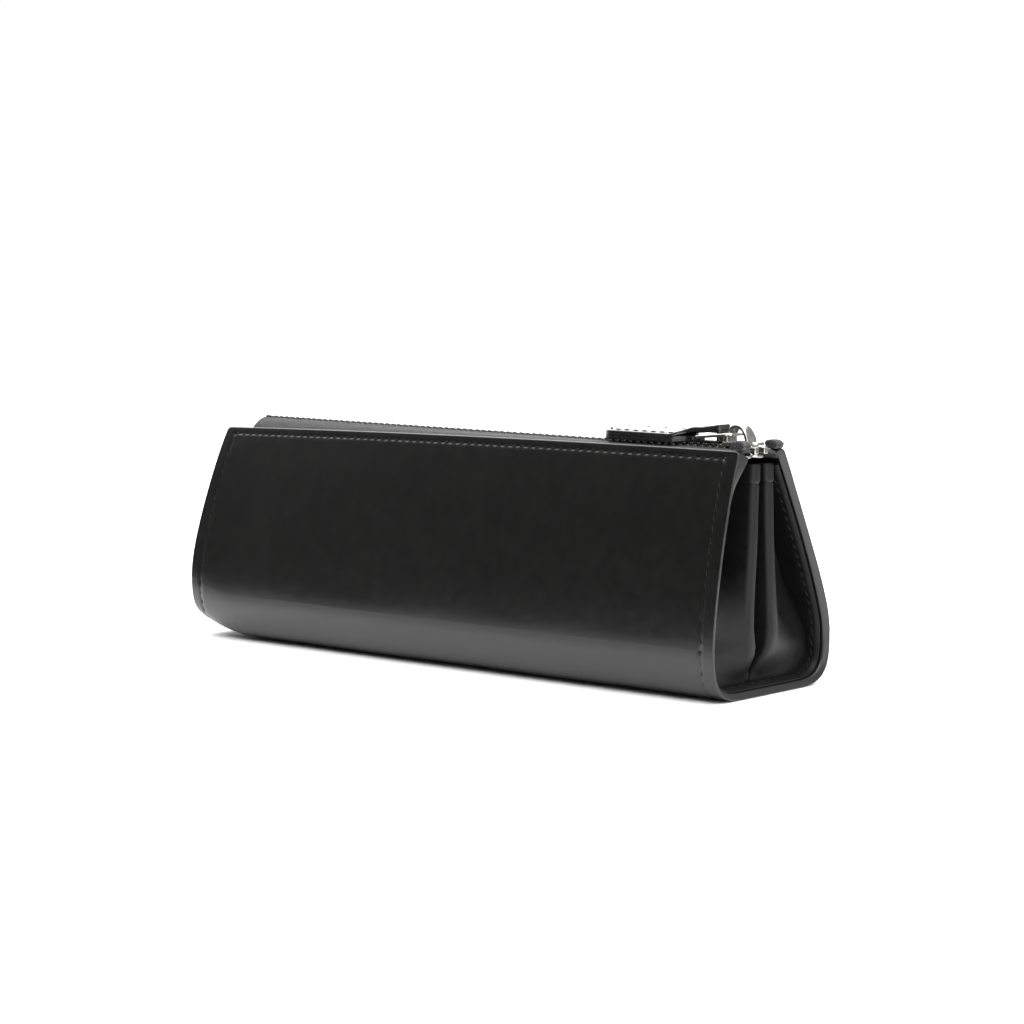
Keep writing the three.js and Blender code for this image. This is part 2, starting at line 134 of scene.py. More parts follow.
def mouth_y(x):
    return MOUTH_Y + MOUTH_TWIST * x


def top_z(x):
    return TOP_Z + TOP_RISE * x + TOP_ARCH * (1 - (x / HALF_LENGTH) ** 2)


def chain_z(x):
    return CHAIN_RIGHT[2] + CHAIN_SLOPE * (x - CHAIN_RIGHT[0])


def bezier(p0, p1, p2, p3, count):
    t = np.linspace(0, 1, count)[:, None]
    s = 1 - t
    return s**3 * p0 + 3 * s * s * t * p1 + 3 * s * t * t * p2 + t**3 * p3


WALL_POINTS = 120
CORNER_POINTS = 60
CORNER_STEEP = 40         # this many of the corner's points are on its steep upper part


def wall_points(side, x):
    """The wall's section at x, as (y, z) from its top edge down to the crease."""
    crease = np.array([side * HALF_WIDTH, CREASE_Z + lift(x)])
    low = crease + [0, 8.0]
    top = np.array([mouth_y(x) + side * MOUTH_HALF, top_z(x)])
    outward = side * np.array([top[1] - low[1], low[0] - top[0]])
    outward = outward / np.linalg.norm(outward)
    high = lerp(top, low, 0.45) + outward * BOW[side]
    return bezier(top, high, low, crease, WALL_POINTS)


def corner_points(side, x):
    """The rounded corner below the crease, down to the flat underside."""
    up = np.array([0, lift(x)])
    return bezier(
        np.array([side * HALF_WIDTH, CREASE_Z]) + up,
        np.array([side * HALF_WIDTH, CORNER_LOW]) + up,
        np.array([side * CORNER_WIDE, 0]) + up,
        np.array([side * FOOT_HALF, 0]) + up,
        CORNER_POINTS,
    )


class Section:
    """Half of the wrap's section at x; lengths run down from the wall's top to the middle of the base."""

    cache = {}

    def __init__(self, side, x):
        wall = wall_points(side, x)
        corner = corner_points(side, x)
        flat = np.column_stack([side * np.linspace(FOOT_HALF, 0, 20), np.full(20, float(lift(x)))])
        self.points = np.vstack([wall, corner[1:], flat[1:]])
        steps = np.linalg.norm(np.diff(self.points, axis=0), axis=1)
        self.length = np.concatenate([[0], np.cumsum(steps)])
        self.wall = self.length[len(wall) - 1]
        self.foot = self.length[len(wall) + len(corner) - 2]
        along = np.gradient(self.points, self.length, axis=0)
        along /= np.linalg.norm(along, axis=1)[:, None]
        self.inward = side * np.column_stack([along[:, 1], -along[:, 0]])
        self.along = along

    @classmethod
    def at(cls, side, x):
        key = (side, round(float(x), 4))
        if key not in cls.cache:
            cls.cache[key] = cls(side, float(x))
        return cls.cache[key]

    def read(self, table, length):
        return np.column_stack([np.interp(length, self.length, table[:, k]) for k in (0, 1)])


def end_turn(side, x, length, section):
    """Slope of the wrap's end at a point: none at the front's thick top."""
    near = np.clip(1 - (HALF_LENGTH - abs(x)) / END_TURN_LENGTH, 0, 1)
    slope = lerp(END_TURN[side], END_TURN_BASE, smoothstep(length, section.wall, section.foot))
    return slope * near * (smoothstep(length, 3, 14) if side < 0 and x > 0 else 1.0)


def on_wrap(side, x, length, depth):
    """Points under the wrap's outer surface by depth; x, length and depth broadcast together."""
    x, length, depth = np.broadcast_arrays(x, length, depth)
    flat = [a.reshape(a.shape[0], -1) for a in (x, length, depth)]
    out = np.empty(flat[0].shape + (3,))
    for i in range(flat[0].shape[0]):
        row = flat[0][i]
        if np.allclose(row, row[0]):
            section = Section.at(side, row[0])
            yz = section.read(section.points, flat[1][i])
            inward = section.read(section.inward, flat[1][i])
        else:
            pairs = [(Section.at(side, a), b) for a, b in zip(row, flat[1][i])]
            yz = np.array([s.read(s.points, [b])[0] for s, b in pairs])
            inward = np.array([s.read(s.inward, [b])[0] for s, b in pairs])
        inward = inward / np.linalg.norm(inward, axis=1)[:, None]
        turn = [end_turn(side, a, b, Section.at(side, a)) for a, b in zip(row, flat[1][i])]
        out[i, :, 0] = row - np.sign(row) * turn * flat[2][i]
        out[i, :, 1:] = yz + inward * flat[2][i][:, None]
    return out.reshape(x.shape + (3,))


# ---- meshes


def signed_volume(vertices, faces):
    a, b, c, d = (vertices[faces[:, k]] for k in range(4))
    first = np.einsum("ij,ij->i", a, np.cross(b, c))
    second = np.einsum("ij,ij->i", a, np.cross(c, d))
    return (first + second).sum() / 6


def add_object(name, vertices, faces, material, uv=None, edge=None, sharp=50):
    """A mesh object from vertices in millimetres; faces are quads, then caps with more corners."""
    quads = np.array([f for f in faces if len(f) == 4]) if not isinstance(faces, np.ndarray) else faces
    caps = [] if isinstance(faces, np.ndarray) else [f for f in faces if len(f) != 4]
    mesh = bpy.data.meshes.new(name)
    mesh.from_pydata((np.asarray(vertices) * MM).tolist(), [], quads.tolist() + [list(f) for f in caps])
    mesh.validate()
    mesh.polygons.foreach_set("use_smooth", [True] * len(mesh.polygons))
    mesh.set_sharp_from_angle(angle=math.radians(sharp))
    if uv is not None:
        corners = np.empty(len(mesh.loops), int)
        mesh.loops.foreach_get("vertex_index", corners)
        layer = mesh.uv_layers.new(name="UVMap")
        layer.data.foreach_set("uv", np.asarray(uv, np.float32)[corners].ravel())
    if edge is not None:
        attribute = mesh.attributes.new("edge", "FLOAT", "POINT")
        attribute.data.foreach_set("value", np.asarray(edge, np.float32).ravel())
    mesh.materials.append(material)
    obj = bpy.data.objects.new(name, mesh)
    bpy.context.scene.collection.objects.link(obj)
    return obj


def grid_faces(rows, cols, wrap_rows=False, wrap_cols=False):
    down = np.arange(rows if wrap_rows else rows - 1)
    along = np.arange(cols if wrap_cols else cols - 1)
    i, j = np.meshgrid(down, along, indexing="ij")
    i, j = i.ravel(), j.ravel()
    i2, j2 = (i + 1) % rows, (j + 1) % cols
    return np.column_stack([i * cols + j, i2 * cols + j, i2 * cols + j2, i * cols + j2])


def shell(name, outer, inner, material, uv=None, edge=None, sharp=50):
    """A closed sheet between two grids of points."""
    rows, cols = outer.shape[:2]
    count = rows * cols
    top = grid_faces(rows, cols)
    loop = [*range(cols), *[i * cols + cols - 1 for i in range(1, rows)]]
    loop += [(rows - 1) * cols + j for j in range(cols - 2, -1, -1)]
    loop += [i * cols for i in range(rows - 2, 0, -1)]
    loop = np.array(loop)
    after = np.roll(loop, -1)
    band = np.column_stack([loop, after, after + count, loop + count])
    faces = np.vstack([top, top[:, ::-1] + count, band])
    vertices = np.vstack([outer.reshape(-1, 3), inner.reshape(-1, 3)])
    if signed_volume(vertices, faces) < 0:
        faces = faces[:, ::-1]
    if uv is not None:
        uv = np.vstack([uv.reshape(-1, 2)] * 2)
    if edge is not None:
        edge = np.concatenate([edge.ravel()] * 2)
    return add_object(name, vertices, faces, material, uv, edge, sharp)


def tube(rings, closed=False):
    """Vertices and faces of a sweep through rings of points; an open one has a cap at each end."""
    rings = np.asarray(rings)
    count, around = rings.shape[:2]
    faces = grid_faces(count, around, wrap_rows=closed, wrap_cols=True)
    vertices = rings.reshape(-1, 3)
    if signed_volume(vertices, faces) < 0:
        faces = faces[:, ::-1]
    faces = faces.tolist()
    if not closed:
        start = list(range(around))
        end = [(count - 1) * around + k for k in range(around)]
        forward = faces[0][0] < faces[0][1]
        faces += [start[::-1], end] if forward else [start, end[::-1]]
    return vertices, faces


def sweep_object(name, rings, material, closed=False, sharp=50):
    vertices, faces = tube(rings, closed)
    obj = add_object(name, vertices, faces, material, sharp=sharp)
    face_out(obj)
    return obj


def face_out(obj):
    """Faces a closed mesh outwards, and cuts its caps into triangles so that they can bend."""
    work = bmesh.new()
    work.from_mesh(obj.data)
    caps = [face for face in work.faces if len(face.verts) > 4]
    bmesh.ops.triangulate(work, faces=caps, ngon_method="BEAUTY")
    bmesh.ops.recalc_face_normals(work, faces=work.faces)
    work.to_mesh(obj.data)
    work.free()


def joined(name, parts, material, sharp=50):
    """One object of several closed meshes, each (vertices, faces)."""
    vertices, faces, offset = [], [], 0
    for v, f in parts:
        vertices.append(v)
        faces += [[k + offset for k in face] for face in f]
        offset += len(v)
    obj = add_object(name, np.vstack(vertices), faces, material, sharp=sharp)
    face_out(obj)
    return obj


def bend_with_wall(obj):
    """Bakes the piece's placement into its mesh."""
    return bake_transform(obj)


# ---- materials


class Graph:
    """Short calls for the nodes of a tree."""

    def __init__(self, node_tree):
        self.nodes = node_tree.nodes
        self.links = node_tree.links
        self.nodes.clear()

    def add(self, kind, **values):
        node = self.nodes.new(kind)
        for key, value in values.items():
            if hasattr(node, key):
                setattr(node, key, value)
            else:
                node.inputs[key].default_value = value
        return node

    def link(self, source, node, socket):
        self.links.new(source, node.inputs[socket])

    def split(self, vector):
        node = self.add("ShaderNodeSeparateXYZ")
        self.links.new(vector, node.inputs["Vector"])
        return node.outputs

    def ramp(self, value, low, high, to_low, to_high, smooth=False):
        node = self.add("ShaderNodeMapRange", interpolation_type="SMOOTHSTEP" if smooth else "LINEAR")
        numbers = {"From Min": low, "From Max": high, "To Min": to_low, "To Max": to_high}
        for key, number in numbers.items():
            node.inputs[key].default_value = number
        self.links.new(value, node.inputs["Value"])
        return node.outputs["Result"]

    def math(self, operation, a, b=None):
        node = self.add("ShaderNodeMath", operation=operation)
        for k, value in enumerate((a, b)):
            if value is None:
                continue
            if isinstance(value, (int, float)):
                node.inputs[k].default_value = value
            else:
                self.links.new(value, node.inputs[k])
        return node.outputs[0]


class Tree(Graph):
    """A material on one Principled shader."""

    def __init__(self, name):
        self.material = bpy.data.materials.new(name)
        self.material.use_nodes = True
        super().__init__(self.material.node_tree)
        self.shader = self.add("ShaderNodeBsdfPrincipled")
        output = self.add("ShaderNodeOutputMaterial")
        self.links.new(self.shader.outputs[0], output.inputs["Surface"])

    def constant(self, socket, value):
        self.shader.inputs[socket].default_value = value

    def place(self, scale):
        """Coordinates in units of 1/scale metres."""
        coordinates = self.add("ShaderNodeTexCoord")
        mapping = self.add("ShaderNodeMapping")
        mapping.inputs["Scale"].default_value = (scale, scale, scale)
        self.links.new(coordinates.outputs["Object"], mapping.inputs["Vector"])
        return mapping.outputs["Vector"]

    def noise(self, vector, scale, detail=3.0, rough=0.5):
        node = self.add("ShaderNodeTexNoise", Scale=scale, Detail=detail, Roughness=rough)
        self.links.new(vector, node.inputs["Vector"])
        return node.outputs["Fac"]

    def mix(self, factor, a, b):
        node = self.add("ShaderNodeMix", data_type="RGBA")
        self.links.new(factor, node.inputs["Factor"])
        for socket, value in (("A", a), ("B", b)):
            target = next(s for s in node.inputs if s.name == socket and s.type == "RGBA")
            if isinstance(value, tuple):
                target.default_value = (*value, 1)
            else:
                self.links.new(value, target)
        return next(s for s in node.outputs if s.type == "RGBA")

    def bump(self, height, strength, distance, normal=None):
        node = self.add("ShaderNodeBump", Strength=strength, Distance=distance)
        self.links.new(height, node.inputs["Height"])
        if normal is not None:
            self.links.new(normal, node.inputs["Normal"])
        return node.outputs["Normal"]

    def attribute(self, name):
        return self.add("ShaderNodeAttribute", attribute_name=name).outputs["Fac"]


PER_MM = 1 / MM


def leather_material(name, dark, light, rough_low, rough_high, grain, specular, coat):
    """Fine-grained leather: pores and creases in relief, and a rougher cut edge whose colour is lightened
    as a painted highlight.
    """
    tree = Tree(name)
    place = tree.place(PER_MM)
    cells = tree.add("ShaderNodeTexVoronoi", feature="SMOOTH_F1", Scale=1.7, Smoothness=0.6)
    warp = tree.noise(place, 0.8, 2.0)
    tree.links.new(place, cells.inputs["Vector"])
    pores = tree.noise(place, 4.5, 4.0, 0.6)
    broad = tree.noise(place, 0.06, 3.0)
    mottle = tree.noise(place, 0.35, 4.0)
    edge = tree.attribute("edge")
    tone = tree.math("MULTIPLY", mottle, broad)
    colour = tree.mix(tree.ramp(tone, 0.15, 0.4, 0, 1), dark, light)
    # painted highlight: near the cut edge the colour is lightened towards the light tone
    colour = tree.mix(tree.ramp(edge, 0, 1, 0, 0.4), colour, light)
    tree.link(colour, tree.shader, "Base Color")
    unevenness = tree.math("ADD", mottle, tree.math("MULTIPLY", warp, 0.3))
    rough = tree.ramp(unevenness, 0.45, 0.85, rough_low, rough_high)
    rough = tree.math("ADD", rough, tree.math("MULTIPLY", edge, 0.10))
    tree.link(rough, tree.shader, "Roughness")
    relief = tree.bump(cells.outputs["Distance"], grain, 0.05 * MM)
    relief = tree.bump(pores, grain * 0.8, 0.03 * MM, relief)
    relief = tree.bump(broad, 0.12, 0.6 * MM, relief)
    tree.link(relief, tree.shader, "Normal")
    tree.constant("Specular IOR Level", specular)
    tree.constant("Coat Weight", coat)
    tree.constant("Coat Roughness", 0.22)
    return tree.material


def cloth_material(name, dark, light, pitch, slant):
    """Woven cloth on UVs in millimetres: a plain weave, or a herringbone of stripes slant wide."""
    tree = Tree(name)
    place = tree.split(tree.add("ShaderNodeUVMap").outputs["UV"])
    u, v = place["X"], place["Y"]
    turn = 2 * math.pi / pitch
    if slant:
        zig = tree.math("PINGPONG", v, slant)
        along = tree.math("SINE", tree.math("MULTIPLY", tree.math("ADD", u, zig), turn))
        across = tree.math("SINE", tree.math("MULTIPLY", tree.math("SUBTRACT", u, zig), turn * 0.5))
        height = tree.math("ADD", tree.math("MULTIPLY", along, 0.7), tree.math("MULTIPLY", across, 0.15))
    else:
        along = tree.math("SINE", tree.math("MULTIPLY", u, turn))
        across = tree.math("SINE", tree.math("MULTIPLY", v, turn))
        height = tree.math("MULTIPLY", along, across)
    fuzz = tree.noise(tree.place(PER_MM), 3.0, 4.0, 0.7)
    height = tree.math("ADD", height, tree.math("MULTIPLY", fuzz, 0.6))
    tree.link(tree.mix(tree.ramp(height, -0.8, 1.2, 0, 1), dark, light), tree.shader, "Base Color")
    tree.link(tree.ramp(fuzz, 0.3, 0.7, 0.72, 0.92), tree.shader, "Roughness")
    tree.link(tree.bump(height, 0.7, 0.08 * MM), tree.shader, "Normal")
    tree.constant("Specular IOR Level", 0.35)
    tree.constant("Sheen Weight", 0.25)
    return tree.material


def thread_material(name, dark, light):
    """Waxed linen thread: fine fibres and a soft shine."""
    tree = Tree(name)
    fibres = tree.noise(tree.place(PER_MM), 6.0, 3.0, 0.6)
    tree.link(tree.mix(tree.ramp(fibres, 0.35, 0.7, 0, 1), dark, light), tree.shader, "Base Color")
    tree.link(tree.ramp(fibres, 0.3, 0.7, 0.45, 0.65), tree.shader, "Roughness")
    tree.link(tree.bump(fibres, 0.5, 0.05 * MM), tree.shader, "Normal")
    tree.constant("Specular IOR Level", 0.3)
    return tree.material


def metal_material(name, bright, dull, rough_low, rough_high):
    """Plated metal: a soft mottle in colour and shine, with fine handling marks."""
    tree = Tree(name)
    place = tree.place(PER_MM)
    cloud = tree.noise(place, 0.7, 4.0)
    marks = tree.noise(place, 7.0, 2.0, 0.7)
    tree.link(tree.mix(tree.ramp(cloud, 0.35, 0.65, 0, 1), bright, dull), tree.shader, "Base Color")
    tree.link(tree.ramp(cloud, 0.3, 0.7, rough_low, rough_high), tree.shader, "Roughness")
    tree.link(tree.bump(marks, 0.12, 0.03 * MM), tree.shader, "Normal")
    tree.constant("Metallic", 1.0)
    return tree.material


LEATHER_MAT = leather_material(
    "case_leather", (0.0036, 0.0037, 0.0034), (0.0052, 0.0053, 0.0049), 0.28, 0.35, 0.09, 0.62, 0.18
)
GUSSET_MAT = leather_material(
    "soft_leather", (0.0030, 0.0031, 0.0036), (0.0052, 0.0053, 0.0062), 0.42, 0.52, 0.28, 0.28, 0.0
)
TAB_MAT = leather_material(
    "tab_leather", (0.0075, 0.0075, 0.0075), (0.0130, 0.0130, 0.0130), 0.24, 0.32, 0.12, 0.6, 0.35
)
TAPE_MAT = cloth_material("zip_tape_weave", (0.004, 0.004, 0.0045), (0.020, 0.020, 0.021), 0.55, 1.3)
LINING_MAT = cloth_material("lining_weave", (0.010, 0.010, 0.012), (0.030, 0.030, 0.034), 0.45, 0)
THREAD_MAT = thread_material("black_thread", (0.003, 0.003, 0.003), (0.014, 0.014, 0.014))
NICKEL_MAT = metal_material("nickel", (0.54, 0.53, 0.50), (0.38, 0.37, 0.35), 0.12, 0.24)
RING_MAT = metal_material("bright_nickel", (0.80, 0.79, 0.76), (0.62, 0.61, 0.59), 0.10, 0.20)
TEETH_MAT = metal_material("tooth_nickel", (0.62, 0.61, 0.58), (0.44, 0.43, 0.41), 0.18, 0.32)

# ---- the leather wrap

EDGE_ROUND = 0.55
CORNER_ROUND = 1.6
TOP_SEAM = 2.3             # from a wall's top edge to its line of stitches
END_SEAM = 4.3             # and from an end of the case
SCARF = 3.4                # the wall's lower edge laps under the base piece by this much
SCARF_EDGE = 0.3
CREASE_STEP = 0.04
LIP_DOWN = [0, 0.6, 4.7, 8.9, 13.0]       # the front wall's end beside the slider is thicker:
LIP_THICK = [3.0, 3.1, 1.6, 0.4, 0]       # by this much at these distances down from its top,
LIP_LENGTH = 1.5                          # and this far in from its end
STITCH_PITCH = 2.9
ROUND_STEPS = EDGE_ROUND * (1 - np.cos(np.radians([0, 15, 30, 45, 60, 75, 90])))
NEAR_STEPS = [0.8, 1.1, 1.3, 1.6, 1.9, 2.1, 2.3, 2.5, 2.8, 3.2, 3.6, 3.9, 4.1, 4.3, 4.5, 4.7, 5.1, 5.8]


def round_over(distance):
    """How far the face has dropped at this distance from a rounded edge."""
    gap = np.clip(EDGE_ROUND - distance, 0, EDGE_ROUND)
    return EDGE_ROUND - np.sqrt(EDGE_ROUND**2 - gap**2)


def round_corner(a, b):
    """Rounds a corner's outline by moving points near it; a and b are distances from the two edges."""
    p = np.clip(1 - a / CORNER_ROUND, 0, 1)
    q = np.clip(1 - b / CORNER_ROUND, 0, 1)
    return (
        np.where(p > 0, CORNER_ROUND * (1 - p * np.sqrt(1 - q * q / 2)), a),
        np.where(q > 0, CORNER_ROUND * (1 - q * np.sqrt(1 - p * p / 2)), b),
    )


def stations():
    """X of the columns of a long panel: close together at both ends."""
    near = np.concatenate([ROUND_STEPS, NEAR_STEPS])
    middle = np.arange(-HALF_LENGTH + 6.5, HALF_LENGTH - 6.4, STITCH_PITCH / 5)
    return np.concatenate([-HALF_LENGTH + near, middle, HALF_LENGTH - near[::-1]])


def seam_dip(distance, along, seam):
    """Depth of the pressed seam at a distance from the edge, deeper at each stitch's hole."""
    line = np.exp(-(((distance - seam) / 0.6) ** 2))
    hole = np.exp(-(((distance - seam) / 0.38) ** 2))
    beat = 0.5 + 0.5 * np.cos(2 * math.pi * along / STITCH_PITCH)
    return 0.13 * line + 0.26 * hole * beat**3


def soft_waves(x, s):
    """The wrap's slow hand-made unevenness."""
    first = 0.10 * np.sin(x / 17.0 + 0.8) * np.sin(s / 11.0 + 0.4)
    second = 0.07 * np.sin(x / 9.5 + s / 15.0 + 2.1)
    third = 0.05 * np.sin(x / 31.0 - s / 8.0 + 1.2)
    return first + second + third


def leather_wall(side):
    xs = stations()
    near = np.concatenate([ROUND_STEPS, NEAR_STEPS, [6.5, 7.5, 9.0]])
    free = np.linspace(0, 1, 34)[1:]
    below = np.array([0.02, 0.5, 1.3, 2.3, SCARF - 0.1])
    x = np.repeat(xs[:, None], len(near) + len(free) + len(below), axis=1)
    length = np.empty_like(x)
    wall = np.array([Section.at(side, v).wall for v in xs])
    length[:, : len(near)] = near
    length[:, len(near) : len(near) + len(free)] = near[-1] + free * (wall[:, None] - near[-1])
    length[:, -len(below) :] = wall[:, None] + below
    lap = length - wall[:, None]
    ends = HALF_LENGTH - np.abs(x)
    a, b = round_corner(ends, length)
    rounding = np.maximum(round_over(ends), round_over(length))
    dip = seam_dip(length, x, TOP_SEAM) * smoothstep(ends, END_SEAM - 0.9, END_SEAM)
    dip = dip + seam_dip(ends, length, END_SEAM) * smoothstep(length, TOP_SEAM - 0.6, TOP_SEAM)
    outer = rounding + dip + soft_waves(x, length) * smoothstep(length, 5, 12) * smoothstep(-lap, 0, 8)
    scarf = SCARF_EDGE + 0.1 + (LEATHER - SCARF_EDGE - 0.2) * np.clip(lap, 0, SCARF) / SCARF
    outer = np.where(lap > 0.01, scarf, outer)
    inner = LEATHER - rounding
    if side < 0:
        beside_slider = (1 - smoothstep(ends, LIP_LENGTH - 0.3, LIP_LENGTH)) * (x > 0)
        inner = inner + np.interp(length, LIP_DOWN, LIP_THICK) * beside_slider
    inner = np.where(lap > 0.01, np.maximum(inner, outer + 0.05), inner)
    place = np.sign(x) * (HALF_LENGTH - a)
    place = np.where(np.abs(x) < HALF_LENGTH - CORNER_ROUND, x, place)
    edge = smoothstep(-np.minimum(ends, length), -0.7, -0.1)
    name = WALL_NAME[side]
    obj = shell(
        f"{name}_leather",
        on_wrap(side, place, b, outer),
        on_wrap(side, place, b, inner),
        LEATHER_MAT,
        edge=edge,
    )
    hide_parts(f"{name}_panel")
    return bend_with_wall(obj)


BASE_RUN = 32.3           # the base's rows run this far from a crease towards the middle


def leather_base():
    xs = stations()
    half = np.concatenate([[0, 0.5, 1.3, 2.3, SCARF], np.linspace(SCARF, BASE_RUN, 24)[1:]])
    section = Section.at(1, 50.0)
    middle = section.length[-1] - section.wall
    half = half[half < middle - 0.5]
    x, drop = np.meshgrid(xs, half, indexing="ij")
    ends = HALF_LENGTH - np.abs(x)
    rounding = round_over(ends)
    dip = seam_dip(ends, drop, END_SEAM)
    waves = soft_waves(x, drop + 55) * smoothstep(drop, 2, 10) * smoothstep(-drop, -22, -16)
    outer = rounding + dip + waves + CREASE_STEP * smoothstep(-drop, -3.0, 0)
    inner = np.minimum(LEATHER - rounding, SCARF_EDGE + (LEATHER - SCARF_EDGE) * drop / SCARF)
    inner = np.maximum(inner, outer + 0.1)
    sides = []
    for side in (-1, 1):
        wall = np.array([Section.at(side, v).wall for v in xs])[:, None]
        sides.append([on_wrap(side, x, wall + drop, d) for d in (outer, inner)])
    grids = [np.concatenate([sides[0][k], sides[1][k][:, ::-1]], axis=1) for k in (0, 1)]
    edge = np.concatenate([smoothstep(-ends, -0.7, -0.1)] * 2, axis=1)
    obj = shell("base_leather", grids[0], grids[1], LEATHER_MAT, edge=edge)
    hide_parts("base_panel")
    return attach(obj, "case")


# ---- stitches

STITCH_LENGTH = 2.1
THREAD = 0.17
BASE_SEAM_DEPTH = 0.36      # the thread under the base lies deeper than the surface it stands on
SLANT = math.radians(20)


def stitch_template():
    """A bent grain of thread along X, its middle proud of the leather and its ends in their holes."""
    t = np.linspace(-1, 1, 9)
    radius = THREAD * np.sqrt(np.clip(1 - np.abs(t) ** 5, 0.06, 1))
    angle = np.linspace(0, 2 * math.pi, 8, endpoint=False)
    rings = np.empty((len(t), len(angle), 3))
    rings[:, :, 0] = (t * STITCH_LENGTH / 2)[:, None] + 0 * angle
    rings[:, :, 1] = radius[:, None] * np.cos(angle)
    rings[:, :, 2] = radius[:, None] * np.sin(angle) + (0.05 - 0.34 * t**2)[:, None]
    return tube(rings)


def stitches(name, places, scale=1.0, slant=SLANT):
    """Places are (point, along, outward) for each stitch's middle."""
    template, faces = stitch_template()
    parts = []
    for point, along, outward in places:
        outward = outward / np.linalg.norm(outward)
        along = along - outward * along.dot(outward)
        along /= np.linalg.norm(along)
        across = np.cross(outward, along)
        x = along * math.cos(slant) + across * math.sin(slant)
        y = np.cross(outward, x)
        parts.append((point + scale * template @ np.array([x, y, outward]), faces))
    obj = joined(name, parts, THREAD_MAT, sharp=80)
    return obj


def wrap_stitches(side, xs, lengths, depth, inside=False, along_x=True):
    """Places for stitches on the wrap: the seam runs along X, or down the section."""
    places = []
    for x, s in zip(xs, lengths):
        section = Section.at(side, x)
        point = on_wrap(side, np.array([[x]]), np.array([[s]]), np.array([[depth]]))[0, 0]
        inward = section.read(section.inward, [s])[0]
        down = section.read(section.along, [s])[0]
        outward = np.array([0, *inward]) * (1 if inside else -1)
        along = np.array([1.0, 0, 0]) if along_x else np.array([0, *down])
        places.append((point, along, outward))
    return places


def wall_seams(side):
    """The seam under the mouth and those down both ends of a wall."""
    name = WALL_NAME[side]
    reach = HALF_LENGTH - END_SEAM
    count = int(2 * reach / STITCH_PITCH)
    xs = (np.arange(count) - (count - 1) / 2) * STITCH_PITCH
    seam_depth = 0.18
    places = wrap_stitches(side, xs, np.full(len(xs), TOP_SEAM), seam_depth)
    for end in (-1, 1):
        wall = Section.at(side, end * reach).wall
        downs = np.arange(TOP_SEAM + STITCH_PITCH / 2, wall - 1, STITCH_PITCH)
        places += wrap_stitches(side, np.full(len(downs), end * reach), downs, seam_depth, along_x=False)
    obj = stitches(f"{name}_seams", places)
    return bend_with_wall(obj)


def base_seams():
    """The seams across both ends of the base, outside and on the gussets' flanges inside."""
    reach = HALF_LENGTH - END_SEAM
    places = []
    for end in (-1, 1):
        for side in (-1, 1):
            section = Section.at(side, end * reach)
            lengths = np.arange(section.wall + 0.6, section.length[-1] - 0.4, STITCH_PITCH)
            xs = np.full(len(lengths), end * reach)
            places += wrap_stitches(side, xs, lengths, BASE_SEAM_DEPTH, along_x=False)
            places += wrap_stitches(side, xs, lengths, FLANGE_FACE - 0.05, inside=True, along_x=False)
    obj = stitches("base_seams", places)
    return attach(obj, "case")


# ---- linings

LINING_DEPTH = LEATHER + 0.1
LINING_MARGIN = 13.0
LINING_TOP = 11.5


def wall_lining(side):
    xs = np.linspace(LINING_MARGIN - HALF_LENGTH, HALF_LENGTH - LINING_MARGIN, 90)
    x, t = np.meshgrid(xs, np.linspace(0, 1, 24), indexing="ij")
    wall = np.array([Section.at(side, v).wall for v in xs])[:, None]
    length = LINING_TOP + t * (wall - 0.4 - LINING_TOP)
    ripple = 0.05 + 0.05 * np.sin(x / 7.0 + 1.3) * np.sin(length / 5.0)
    middle = on_wrap(side, x, length, LINING_DEPTH + LINING / 2)
    outer = on_wrap(side, x, length, LINING_DEPTH + ripple)
    inner = on_wrap(side, x, length, LINING_DEPTH + LINING + ripple)
    name = f"{WALL_NAME[side]}_lining_cloth"
    obj = shell(name, outer, inner, LINING_MAT, uv=np.stack([x, length], axis=-1))
    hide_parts(f"{WALL_NAME[side]}_lining")
    return bend_with_wall(obj)


def base_lining():
    xs = np.linspace(LINING_MARGIN - HALF_LENGTH, HALF_LENGTH - LINING_MARGIN, 90)
    section = Section.at(1, 50.0)
    drops = np.linspace(0, section.length[-1] - section.wall - 0.01, 30)
    x, drop = np.meshgrid(xs, drops, indexing="ij")
    grids = []
    for depth in (LINING_DEPTH, LINING_DEPTH + LINING, LINING_DEPTH + LINING / 2):
        halves = []
        for side in (-1, 1):
            wall = np.array([Section.at(side, v).wall for v in xs])[:, None]
            halves.append(on_wrap(side, x, wall + drop, depth))
        grids.append(np.concatenate([halves[0], halves[1][:, ::-1][:, 1:]], axis=1))
    across = np.concatenate([drop, 2 * drop.max() - drop[:, ::-1][:, 1:]], axis=1)
    uv = np.stack([np.broadcast_to(x[:, :1], across.shape), across], axis=-1)
    obj = shell("base_lining_cloth", grids[0], grids[1], LINING_MAT, uv=uv)
    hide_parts("base_lining")
    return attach(obj, "case")


# ---- gussets

FLANGE_DEPTH = LEATHER + 0.12
FLANGE_FACE = FLANGE_DEPTH + GUSSET
RIDGE_X = 2.0
GROOVE_X = 14.0
RIDGE_HALF = 1.35
GROOVE_HALF = 1.3
PLEAT_Y = -3.0
PLEAT_HEIGHTS = (4.0, 18.0, 62.0)
PLEAT_APART = (3.0, 5.0, 2.8)       # from the pleat's middle to a ridge, at those heights
FLANGE_INSET = 1.6                  # how far in from the end of the wrap the gusset's edge lies
POCKET_HEIGHTS = (12.0, 34.0)       # between a ridge and the wall the leather sinks into a pocket:
POCKET_DEPTH = (6.0, 14.0)          # shallow low down and deep higher up,
POCKET_SHARE = (0.8, 0.12)          # and this share of the way from the ridge to the wall
SKIVED = 0.75                       # the gusset's edge is pared down this much, over this length
SKIVE_LENGTH = 2.6
BASE_FLANGE = 6.5                   # how far the gusset's edge runs along the base
HEM = 5.0
FOLD_STEPS = 8
FOLD_RADIUS = 1.0


